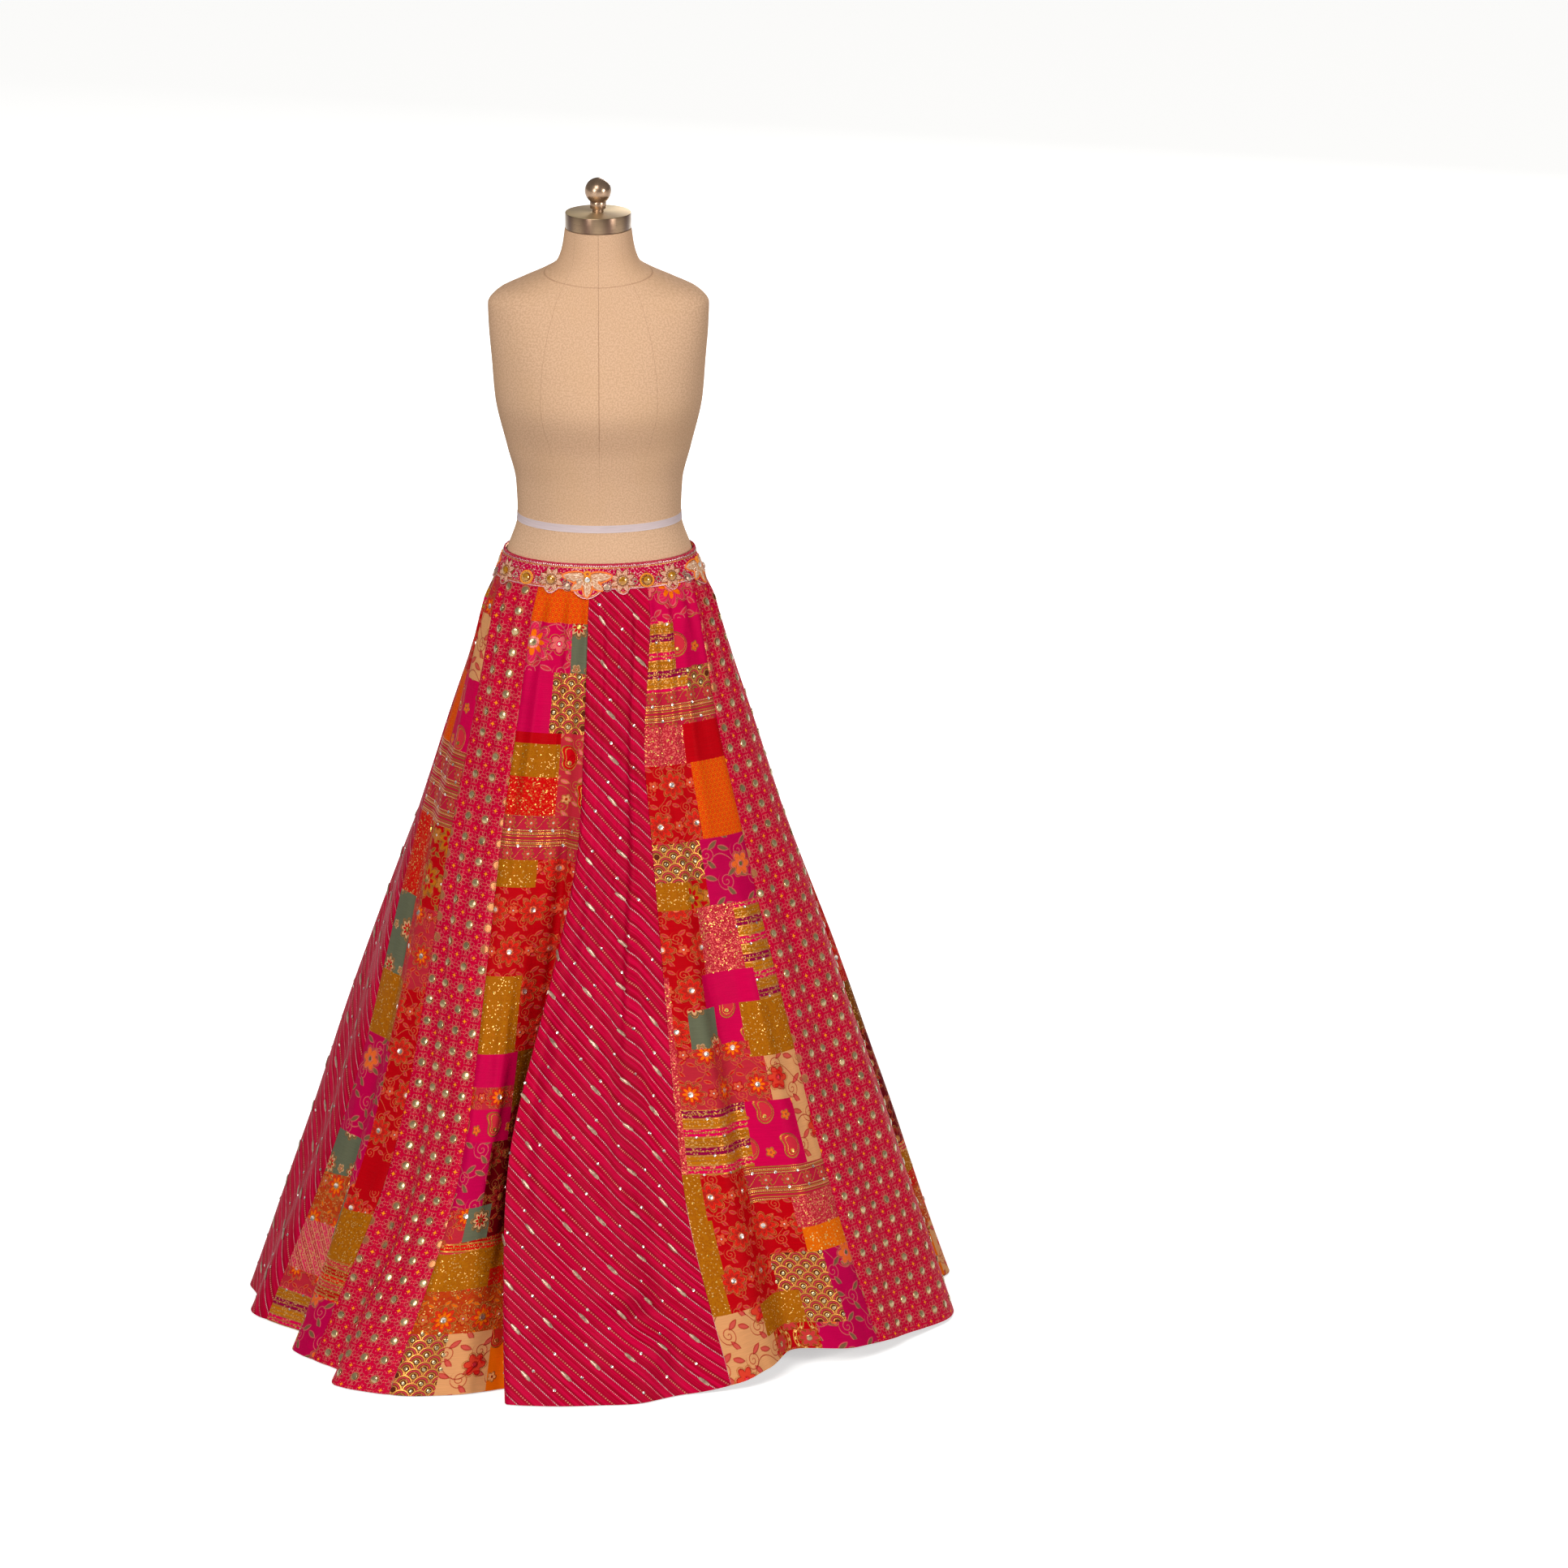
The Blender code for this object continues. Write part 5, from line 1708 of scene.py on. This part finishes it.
def make_band():
    lone_selection()
    bpy.ops.mesh.primitive_grid_add(x_subdivisions=BAND_SIDES, y_subdivisions=BAND_RINGS, size=1)
    band = start_piece("waistband_silk")
    flat = vertex_places(band)
    angle = flat[:, 0] * 360
    share = 0.5 - flat[:, 1]
    height = WAISTBAND_TOP + (band_bottom(angle) - WAISTBAND_TOP) * share
    move_vertices(band, on_band(angle, height, BAND_SKIN))
    corner_map(band, "cloth", np.stack([angle / 360 * BAND_MAP_LENGTH, height - WAISTBAND_TOP], -1))
    close_ring(1e-5)
    band.data.materials.append(band_silk())
    apply_modifier(band, "SOLIDIFY", thickness=BAND_SKIN - 0.0001, offset=-1, use_even_offset=False)
    smooth(band, 60)
    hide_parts("waistband")
    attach(band, "root")
    fine = np.linspace(-180, 180, 1441)
    runs = np.linalg.norm(np.diff(on_band(fine, BAND_MIDDLE, BAND_SKIN), axis=0), axis=1)
    deep = WAISTBAND_TOP - band_bottom((fine[1:] + fine[:-1]) / 2)
    print("Band:", round(float(runs.sum()), 3), "m long,", round(float(deep.max()), 4), "m deep,",
          round(float((runs * deep).sum()), 4), "square metres")
    return band


band = make_band()

# %% Thread of the raised work


def satin_thread(name, light, dark, streaks=9.0):
    """Satin stitch on a petal: threads run from its root to its tip."""
    made = Cloth(name, light, rough=0.42, slub=0.0, map_name="petal", drape=0)
    threads = (made.v * (2 * math.pi * streaks)).sine() * 0.5 + 0.5
    made.layer(threads * 0.45, dark, 0.00008)
    rim = 0.5 - (made.v - 0.5).size()
    made.layer((0.10 - rim).inside(0.03), dark, 0.0)
    made.layer((0.16 - made.u).inside(0.06) * 0.8, dark, 0.0)
    grain, _ = made.grains(13.0)
    made.layer((grain - 0.62).inside(0.05) * 0.8, paint(252, 226, 196), 0.0001)
    made.layer((grain - 0.90).inside(0.05), paint(176, 84, 52), 0.0001)
    return made.finish()


CREAM_THREAD = satin_thread("cream_thread", paint(236, 186, 146), paint(186, 96, 62))
PINK_THREAD = satin_thread("pale_pink_thread", paint(238, 176, 140), paint(206, 90, 84))

# %% [markdown]
# A petal is a small grid narrowed towards its tip and crowned. It is modelled once at its real size, and
# each copy is bent onto the band by reading its flat outline as an angle and a height there. A couched
# gold cord follows the outline of every petal.

# %% Lay petals on the band


CORD_SLANT = 32


def turn_flat(flat, turn, scale):
    """Flat points turned by degrees and scaled."""
    cosine, sine = math.cos(math.radians(turn)) * scale, math.sin(math.radians(turn)) * scale
    return flat[:, 0] * cosine - flat[:, 1] * sine, flat[:, 0] * sine + flat[:, 1] * cosine


def turn_pair(right, up, angle):
    """Sideways and upward directions turned by one angle for each seat."""
    angle = angle[:, None]
    return right * np.cos(angle) + up * np.sin(angle), up * np.cos(angle) - right * np.sin(angle)


def lay_on_band(name, pattern, seats, look, lift):
    """Copies a flat pattern onto the band: seats are (angle, height, turn in degrees, scale)."""
    flat = vertex_places(pattern)
    points = []
    for angle, height, turn, scale in seats:
        x, y = turn_flat(flat, turn, scale)
        spot = angle + x / radius_per_degree(angle)
        points.append(on_band(spot, height + y, BAND_SKIN + lift + flat[:, 2]))
    return repeat_piece(name, pattern, np.array(points), look, 60)


def radius_per_degree(angle):
    """Metres along the band for one degree, at an angle."""
    return math.radians(1) * float(body_radius(np.array(float(angle)), np.array(BAND_MIDDLE)))


def cord_beads(name, seats, outline, pitch, radius, look, lift):
    """A row of slanted grains along an outline round every seat, as a twisted cord looks."""
    loop = np.vstack([outline, outline[:1]])
    runs = np.concatenate([[0], np.cumsum(np.linalg.norm(np.diff(loop, axis=0), axis=1))])
    where = np.arange(0, runs[-1], pitch)
    path = np.stack([np.interp(where, runs, loop[:, 0]), np.interp(where, runs, loop[:, 1])], -1)
    later = np.mod(where + pitch, runs[-1])
    ahead = np.stack([np.interp(later, runs, loop[:, 0]), np.interp(later, runs, loop[:, 1])], -1)
    heading = np.degrees(np.arctan2(*(ahead - path).T[::-1]))
    picked = []
    for angle, height, turn, scale in seats:
        x, y = turn_flat(path, turn, scale)
        spot = angle + x / radius_per_degree(angle)
        points, right, up, out = band_seats(spot, height + y, BAND_SKIN + lift)
        picked.append((points, *turn_pair(right, up, np.radians(heading + turn + CORD_SLANT)), out))
    points, right, up, out = gather_seats(picked)
    return strew(name, grain_bead, points, right, up, out, (radius * 1.9, radius, radius), look)


def petal_outline(pattern, grow=1.04):
    """The rim of a petal pattern, in order."""
    flat = vertex_places(pattern)[:, :2]
    columns = np.unique(flat[:, 0].round(6))
    top = [(x, flat[np.abs(flat[:, 0] - x) < 1e-5][:, 1].max() * grow) for x in columns]
    low = [(x, flat[np.abs(flat[:, 0] - x) < 1e-5][:, 1].min() * grow) for x in columns[::-1]]
    return np.array(top + low)


grain_bead = bead()
stone = cut_stone()
LOTUS_HEIGHT = 1.0660
FLOWER_HEIGHT = 1.0625
ROUND_HEIGHT = 1.0610
SIDE_HEIGHT = 1.0545
lotus_angles = [FIRST_LOTUS + 90 * quarter for quarter in range(4)]
flower_angles = [angle + more for angle in lotus_angles for more in (27.0, 63.0)]
round_angles = [angle + 45.0 for angle in lotus_angles]

long_petal = petal("long_petal_pattern", 0.033, 0.0138, 0.0014, 0.45)
short_petal = petal("short_petal_pattern", 0.026, 0.0118, 0.0013, 0.45)
tip_petal = petal("tip_petal_pattern", 0.0166, 0.0078, 0.0010)
LOTUS_PETALS = (
    (long_petal, (5.0, 175.0), "long", 0.0002),
    (short_petal, (-40.0, 220.0), "side", 0.0002),
    (short_petal, (-90.0,), "bottom", 0.0004),
)
ORANGE_CORD = bright_finish("orange_cord", paint(250, 132, 8), paint(226, 88, 0), 0.5, 0.0, 900.0)
OLD_GOLD = bright_finish("old_gold_cord", paint(176, 116, 58), paint(110, 56, 26), 0.4, 0.5, 900.0)
for pattern, turns, word, lift in LOTUS_PETALS:
    seats = [(angle, LOTUS_HEIGHT, turn, 1.0) for angle in lotus_angles for turn in turns]
    lay_on_band(f"lotus_{word}_petals", pattern, seats, CREAM_THREAD, lift)
    inner_rim, outer_rim = petal_outline(pattern, 0.92), petal_outline(pattern, 1.16)
    cord_beads(f"lotus_{word}_cords", seats, inner_rim, 0.0012, 0.00042, OLD_GOLD, lift + 0.0005)
    cord_beads(f"lotus_{word}_edges", seats, outer_rim, 0.0018, 0.00110, ORANGE_CORD, lift + 0.0003)
seats = [(angle, FLOWER_HEIGHT, turn + 22.5, 1.0) for angle in flower_angles for turn in range(0, 360, 45)]
lay_on_band("flower_petals", tip_petal, seats, PINK_THREAD, 0.0002)
cord_beads("flower_cords", seats, petal_outline(tip_petal), 0.0012, 0.00048, OLD_GOLD, 0.0005)

# %% Stones and bead rings of the band


def ring_of(angle, height, radius, count):
    """Angles and heights of a ring of beads round a seat."""
    turn = np.linspace(0, 2 * math.pi, count, endpoint=False)
    return angle + radius * np.cos(turn) / radius_per_degree(angle), height + radius * np.sin(turn)


def bead_rings(name, centres, height, radius, count, size, look, lift=0.0012):
    picked = [band_seats(*ring_of(angle, height, radius, count), BAND_SKIN + lift) for angle in centres]
    points, right, up, out = gather_seats(picked)
    return strew(name, grain_bead, points, right, up, out, (size,) * 3, look)


def stones(name, centres, height, size, look, lift=0.0008):
    picked = band_seats(np.array(centres, float), np.full(len(centres), height), BAND_SKIN + lift)
    return strew(name, stone, *picked, (size, size, size * 0.9), look)


ORANGE_KNOTS = bright_finish("orange_knots", paint(250, 164, 14), paint(216, 110, 4), 0.5, 0.0)
stones("lotus_stones", lotus_angles, LOTUS_HEIGHT - 0.0015, 0.0036, CRYSTAL, 0.0014)
bead_rings("lotus_hearts", lotus_angles, LOTUS_HEIGHT + 0.0058, 0.0034, 8, 0.0022, ORANGE_KNOTS)
bead_rings("lotus_rings", lotus_angles, LOTUS_HEIGHT - 0.0015, 0.0048, 14, 0.0010, GOLD_FOIL)
stones("flower_stones", flower_angles, FLOWER_HEIGHT, 0.0058, AMBER, 0.0010)
bead_rings("flower_rings", flower_angles, FLOWER_HEIGHT, 0.0071, 18, 0.0013, OLD_GOLD)
stones("round_stones", round_angles, ROUND_HEIGHT, 0.0056, AMBER)
bead_rings("round_inner_rings", round_angles, ROUND_HEIGHT, 0.0066, 18, 0.0010, GOLD_FOIL)
bead_rings("round_outer_rings", round_angles, ROUND_HEIGHT, 0.0086, 24, 0.0016, ORANGE_KNOTS)
side_spots = [angle + more for angle in lotus_angles for more in (-14.8, 14.8)]
stones("side_stones", side_spots, SIDE_HEIGHT, 0.0046, GREY_WIRE)
bead_rings("side_rings", side_spots, SIDE_HEIGHT, 0.0060, 16, 0.0008, SILVER_FOIL)

# %% [markdown]
# Three trims finish the band: a bead line under its top piping, the piping itself, and a twisted cord
# that follows the scallops. Each is a row of small grains, because a twisted cord is seen as a row of
# slanted lumps.

# %% Trims of the band


# Metres along the band for one degree, on average
BAND_DEGREE = 0.00203


def trim_row(name, heights_of, pitch, size, slant, look, lift):
    fine = np.linspace(-180, 180, 2881)
    path = on_band(fine, heights_of(fine), BAND_SKIN)
    runs = np.concatenate([[0], np.cumsum(np.linalg.norm(np.diff(path, axis=0), axis=1))])
    count = int(runs[-1] / pitch)
    angle = np.interp(np.arange(count) * runs[-1] / count, runs, fine)
    height = heights_of(angle)
    points, right, up, out = band_seats(angle, height, BAND_SKIN + lift)
    rise = (heights_of(angle + 0.4) - heights_of(angle - 0.4)) / (0.8 * BAND_DEGREE)
    forward, aside = turn_pair(right, up, np.arctan(rise) + math.radians(slant))
    return strew(name, grain_bead, points, forward, aside, out, size, look)


def level(height):
    return lambda angle: np.full(np.shape(angle), height)


PIPING = bright_finish("crimson_piping", paint(206, 0, 60), paint(140, 0, 30), 0.5, 0.0, 900.0)
SILVER_PINK = bright_finish("silver_pink_cord", paint(238, 206, 198), paint(190, 110, 110), 0.38, 0.5, 800.0)
trim_row("top_piping", level(WAISTBAND_TOP - 0.0010), 0.0016, (0.0014, 0.0012, 0.0011), 20, PIPING, 0.0)
trim_row("top_beads", level(WAISTBAND_TOP - 0.0036), 0.0030, (0.0011, 0.0011, 0.0010), 0, SILVER_FOIL, 0.0002)
trim_row("second_cord", level(WAISTBAND_TOP - 0.0060), 0.0016, (0.0011, 0.0006, 0.0006), CORD_SLANT,
         GOLD_FOIL, 0.0001)
trim_row("scallop_cord", lambda angle: band_bottom(angle) + 0.0010, 0.0019, (0.0014, 0.0008, 0.0008),
         CORD_SLANT, SILVER_PINK, 0.0002)
trim_row("inner_scallop_cord", lambda angle: band_bottom(angle) + 0.0032, 0.0017,
         (0.0011, 0.0006, 0.0006), CORD_SLANT, GOLD_FOIL, 0.0001)
small_spots = [angle + more for angle in lotus_angles for more in (36.5, 53.5, 73.5, 16.5 + 67.5)]
bead_rings("small_bead_flowers", small_spots, ROUND_HEIGHT, 0.0030, 6, 0.0015, GREY_WIRE, 0.0008)

# %% [markdown]
# The dress form is a padded body under a tight linen cover, limbless, with a seam down the centre front
# and back, a curved seam over each side of the bust, and a seam where the neck joins. A cylinder's grid
# is wrapped round the body's sections for it, with rings closer together than the CAD's. The seams are
# pressed into the cover by its material, because the real ones are only half a millimetre deep.

# %% Linen cover
COVER_SIDES = 128
COVER_RINGS = 150
BODY_LOW = 0.8702
BODY_HIGH = 1.5335


def linen_cloth():
    made = Cloth("form_linen", paint(220, 180, 146), rough=0.85, slub=0.5, drape=0)
    made.colour = paint(220, 180, 146)
    weave = (made.u * (2 * math.pi / 0.0011)).sine() * (made.v * (2 * math.pi / 0.0011)).sine()
    made.layer((weave - 0.2).inside(0.5) * 0.25, paint(200, 160, 124), 0.00008)
    specks = made.noise(made.u * 430, made.v * 430, 3.0)
    made.layer((specks - 0.50).inside(0.08) * 0.5, paint(190, 148, 114), 0.00006)
    patchy = made.noise(made.u * 9, made.v * 9, 3.0)
    made.layer((patchy - 0.55).inside(0.12) * 0.2, paint(210, 168, 126))
    upper = (made.v + 0.30).inside(0.05) * 0.6 + 0.1
    low_front = (made.u * (2 * math.pi / 0.72)).cosine() * 0.014
    rows = (
        (line(made.u, 0.0010), upper),
        (line(made.u.size() - 0.36, 0.0011), 0.4),
        (line(made.u.size() - 0.068 - (made.v + 0.40).size() * 0.05, 0.0009), upper * 0.5),
        (line(made.u.size() - 0.19, 0.0010), 0.3),
        (line(made.v + 0.056 + low_front, 0.0010), 0.5),
    )
    for row, strength in rows:
        made.layer(row * strength, paint(164, 122, 92), -0.0004)
    return made.finish()


def make_cover():
    lone_selection()
    bpy.ops.mesh.primitive_grid_add(x_subdivisions=COVER_SIDES, y_subdivisions=COVER_RINGS, size=1)
    cover = start_piece("form_cover")
    flat = vertex_places(cover)
    angle = flat[:, 0] * 360
    height = BODY_LOW + (flat[:, 1] + 0.5) * (BODY_HIGH - BODY_LOW)
    move_vertices(cover, turned(angle, body_radius(angle, height), 0.0, height) + AXIS)
    corner_map(cover, "cloth", np.stack([angle / 360 * 0.72, height - BODY_HIGH], -1))
    close_ring(1e-6)
    bpy.ops.object.mode_set(mode="EDIT")
    bpy.ops.mesh.select_all(action="DESELECT")
    bpy.ops.mesh.select_mode(type="EDGE")
    bpy.ops.mesh.select_non_manifold(extend=False)
    bpy.ops.mesh.edge_face_add()
    bpy.ops.object.mode_set(mode="OBJECT")
    cover.data.materials.append(linen_cloth())
    smooth(cover, 60)
    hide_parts("form_body")
    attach(cover, "root")
    return cover


cover = make_cover()
print("Cover faces:", len(cover.data.polygons))

# %% Waist tape
TAPE_HEIGHT = 1.1315
TAPE_WIDTH = 0.0102
TAPE_WALL = 0.0006


def tape_cotton():
    made = Cloth("tape_cotton", paint(228, 206, 206), rough=0.8, slub=0.6, drape=0)
    ribs = (made.v * (2 * math.pi / 0.0012)).sine() * 0.5 + 0.5
    made.layer(ribs * 0.30, paint(206, 190, 186), 0.00006)
    rim = TAPE_WIDTH / 2 - made.v.size()
    made.layer((0.0011 - rim).inside() * 0.6, paint(214, 200, 200), 0.0002)
    return made.finish()


def make_tape():
    lone_selection()
    bpy.ops.mesh.primitive_grid_add(x_subdivisions=180, y_subdivisions=4, size=1)
    tape = start_piece("waist_tape")
    flat = vertex_places(tape)
    angle = flat[:, 0] * 360
    height = TAPE_HEIGHT + flat[:, 1] * TAPE_WIDTH
    out = body_radius(angle, height) + TAPE_WALL + 0.0001
    points = turned(angle, out, 0.0, height) + AXIS
    move_vertices(tape, points)
    fine = np.linspace(-180, 180, 721)
    ring = turned(fine, body_radius(fine, np.full(721, TAPE_HEIGHT)), 0.0, TAPE_HEIGHT)
    length = float(np.linalg.norm(np.diff(ring, axis=0), axis=1).sum())
    corner_map(tape, "cloth", np.stack([flat[:, 0] * length, flat[:, 1] * TAPE_WIDTH], -1))
    close_ring(1e-6)
    tape.data.materials.append(tape_cotton())
    apply_modifier(tape, "SOLIDIFY", thickness=TAPE_WALL, offset=-1, use_even_offset=False)
    smooth(tape, 60)
    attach(tape, "root")
    print("Tape:", round(length, 3), "m")


make_tape()

# %% [markdown]
# The neck cap is a turned disc of metal, brushed in rings round its axis, with its edges just broken. A
# cylinder with many sides gives it a true round edge. Brushing stretches a highlight across the rings, so
# the side's metal is anisotropic. Its colour also holds painted reflections, laid by the angle round the
# axis: dark bands on the side and a pale painted highlight across the top. The ball above it is polished,
# and stands on a short collar. A sphere is opened at its foot and its rim is drawn down in steps to form
# the collar and the post.

# %% Brushed metal and the polished ball
CAP_TOP = float(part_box("form_neck_cap")[1][2])
BALL_RADIUS = 0.018
BALL_CENTRE = 1.5855
# Radius and height of each step below the ball
COLLAR = (
    (0.0092, 1.5714), (0.0106, 1.5709), (0.0110, 1.5700), (0.0110, 1.5620), (0.0106, 1.5613),
    (0.0078, 1.5609), (0.0078, CAP_TOP + 0.0001),
)


def brushed_metal(name, dark, light, band, turns, phase, rough, stretch, flat):
    """Metal brushed in rings, with painted reflections in a third colour, laid in bands by the angle."""
    made, tree, shader = new_material(name)
    where = tree.nodes.new("ShaderNodeTexCoord")
    apart = tree.nodes.new("ShaderNodeSeparateXYZ")
    tree.links.new(where.outputs["Object"], apart.inputs[0])
    x = Thread(tree, apart.outputs[0]) - float(AXIS[0])
    y = Thread(tree, apart.outputs[1]) - float(AXIS[1])
    ring = distance(x, y) if flat else Thread(tree, apart.outputs[2])
    joined = tree.nodes.new("ShaderNodeCombineXYZ")
    for slot, value in zip(joined.inputs, (x * 14, y * 14, ring * 1900)):
        tree.links.new(value.socket, slot)
    rings = tree.nodes.new("ShaderNodeTexNoise")
    rings.inputs["Scale"].default_value = 1.0
    rings.inputs["Detail"].default_value = 3.0
    tree.links.new(joined.outputs[0], rings.inputs["Vector"])
    shade = mix_colours(tree, rings.outputs[0], dark, light)
    # Painted reflection: the third colour, set by the angle round the axis, gives dark reflection bands on
    # the side and a pale painted highlight on the top.
    painted_reflection_bands = (direction(x, y) * turns + phase).cosine() * 0.4 + 0.4
    tree.links.new(mix_colours(tree, painted_reflection_bands.socket, shade, band), shader.inputs["Base Color"])
    spread_roughness(tree, shader, rings.outputs[0], rough - 0.08, rough + 0.08)
    emboss(tree, shader, rings.outputs[0], 0.4, 0.00008)
    shader.inputs["Metallic"].default_value = 0.85
    shader.inputs["Anisotropic"].default_value = stretch
    shader.inputs["Anisotropic Rotation"].default_value = 0.25
    return made


def make_cap():
    lone_selection()
    low, high = np.array(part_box("form_neck_cap"))
    middle = (float(AXIS[0]), float(AXIS[1]), float(low[2] + high[2]) / 2)
    bpy.ops.mesh.primitive_cylinder_add(
        vertices=96, radius=float(high[0] - low[0]) / 2, depth=float(high[2] - low[2]), location=middle)
    cap = start_piece("neck_cap")
    bpy.ops.object.transform_apply(location=True, rotation=True, scale=True)
    pick(cap, lambda middle, normal: abs(normal.z) > 0.9)
    bpy.ops.mesh.bevel(offset=0.0011, segments=3)
    bpy.ops.object.mode_set(mode="OBJECT")
    # The side's dark third colour is painted reflection; the top's pale third colour is a painted highlight.
    cap.data.materials.append(brushed_metal(
        "brushed_side_painted_reflection", paint(128, 104, 82), paint(168, 142, 112), paint(80, 56, 48), 9, math.pi * 1.5,
        0.30, 0.7, False))
    cap.data.materials.append(brushed_metal(
        "brushed_top_painted_highlight", paint(150, 122, 86), paint(188, 158, 114), paint(244, 216, 168), 2, -1.4,
        0.48, 0.0, True))
    for face in cap.data.polygons:
        face.material_index = int(face.normal.z > 0.5)
    smooth(cap, 35)
    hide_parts("form_neck_cap")
    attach(cap, "root")


def make_ball():
    lone_selection()
    centre = (float(AXIS[0]), float(AXIS[1]), BALL_CENTRE)
    bpy.ops.mesh.primitive_uv_sphere_add(segments=64, ring_count=36, radius=BALL_RADIUS, location=centre)
    ball = start_piece("neck_ball")
    bpy.ops.object.transform_apply(location=True, rotation=True, scale=True)
    pick(ball, lambda middle, normal: middle.z < BALL_CENTRE - 0.0152)
    bpy.ops.mesh.delete(type="FACE")
    bpy.ops.mesh.select_mode(type="EDGE")
    bpy.ops.mesh.select_non_manifold(extend=False)
    bpy.ops.object.mode_set(mode="OBJECT")
    rim = np.array([vertex.co[:] for vertex in ball.data.vertices if vertex.select])
    radius, height = float(np.hypot(*(rim[:, :2] - centre[:2]).T).mean()), float(rim[:, 2].mean())
    bpy.ops.object.mode_set(mode="EDIT")
    for new_radius, new_height in COLLAR:
        bpy.ops.mesh.extrude_region_move(TRANSFORM_OT_translate={"value": (0, 0, new_height - height)})
        size = new_radius / radius
        bpy.ops.transform.resize(value=(size, size, 1), center_override=(*centre[:2], new_height))
        radius, height = new_radius, new_height
    bpy.ops.mesh.edge_face_add()
    bpy.ops.mesh.select_all(action="SELECT")
    bpy.ops.mesh.normals_make_consistent(inside=False)
    bpy.ops.object.mode_set(mode="OBJECT")
    ball.data.materials.append(bright_finish(
        "polished_steel", paint(186, 156, 130), paint(134, 106, 84), 0.25, 0.78, 70.0))
    smooth(ball, 35)
    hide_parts("form_finial")
    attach(ball, "root")


make_cap()
make_ball()
STAND_PAINT = bright_finish("stand_paint", paint(62, 56, 52), paint(36, 32, 30), 0.5, 0.0, 240.0)
for node in ("stand_pole", "stand_base"):
    bpy.data.objects[node].material_slots[0].material = STAND_PAINT

# %% [markdown]
# The pattern pieces have done their work and are taken away.

# %% Clear up
for pattern in (disc, sequin, boat, grain_bead, stone, long_petal, short_petal, tip_petal):
    discard(pattern)
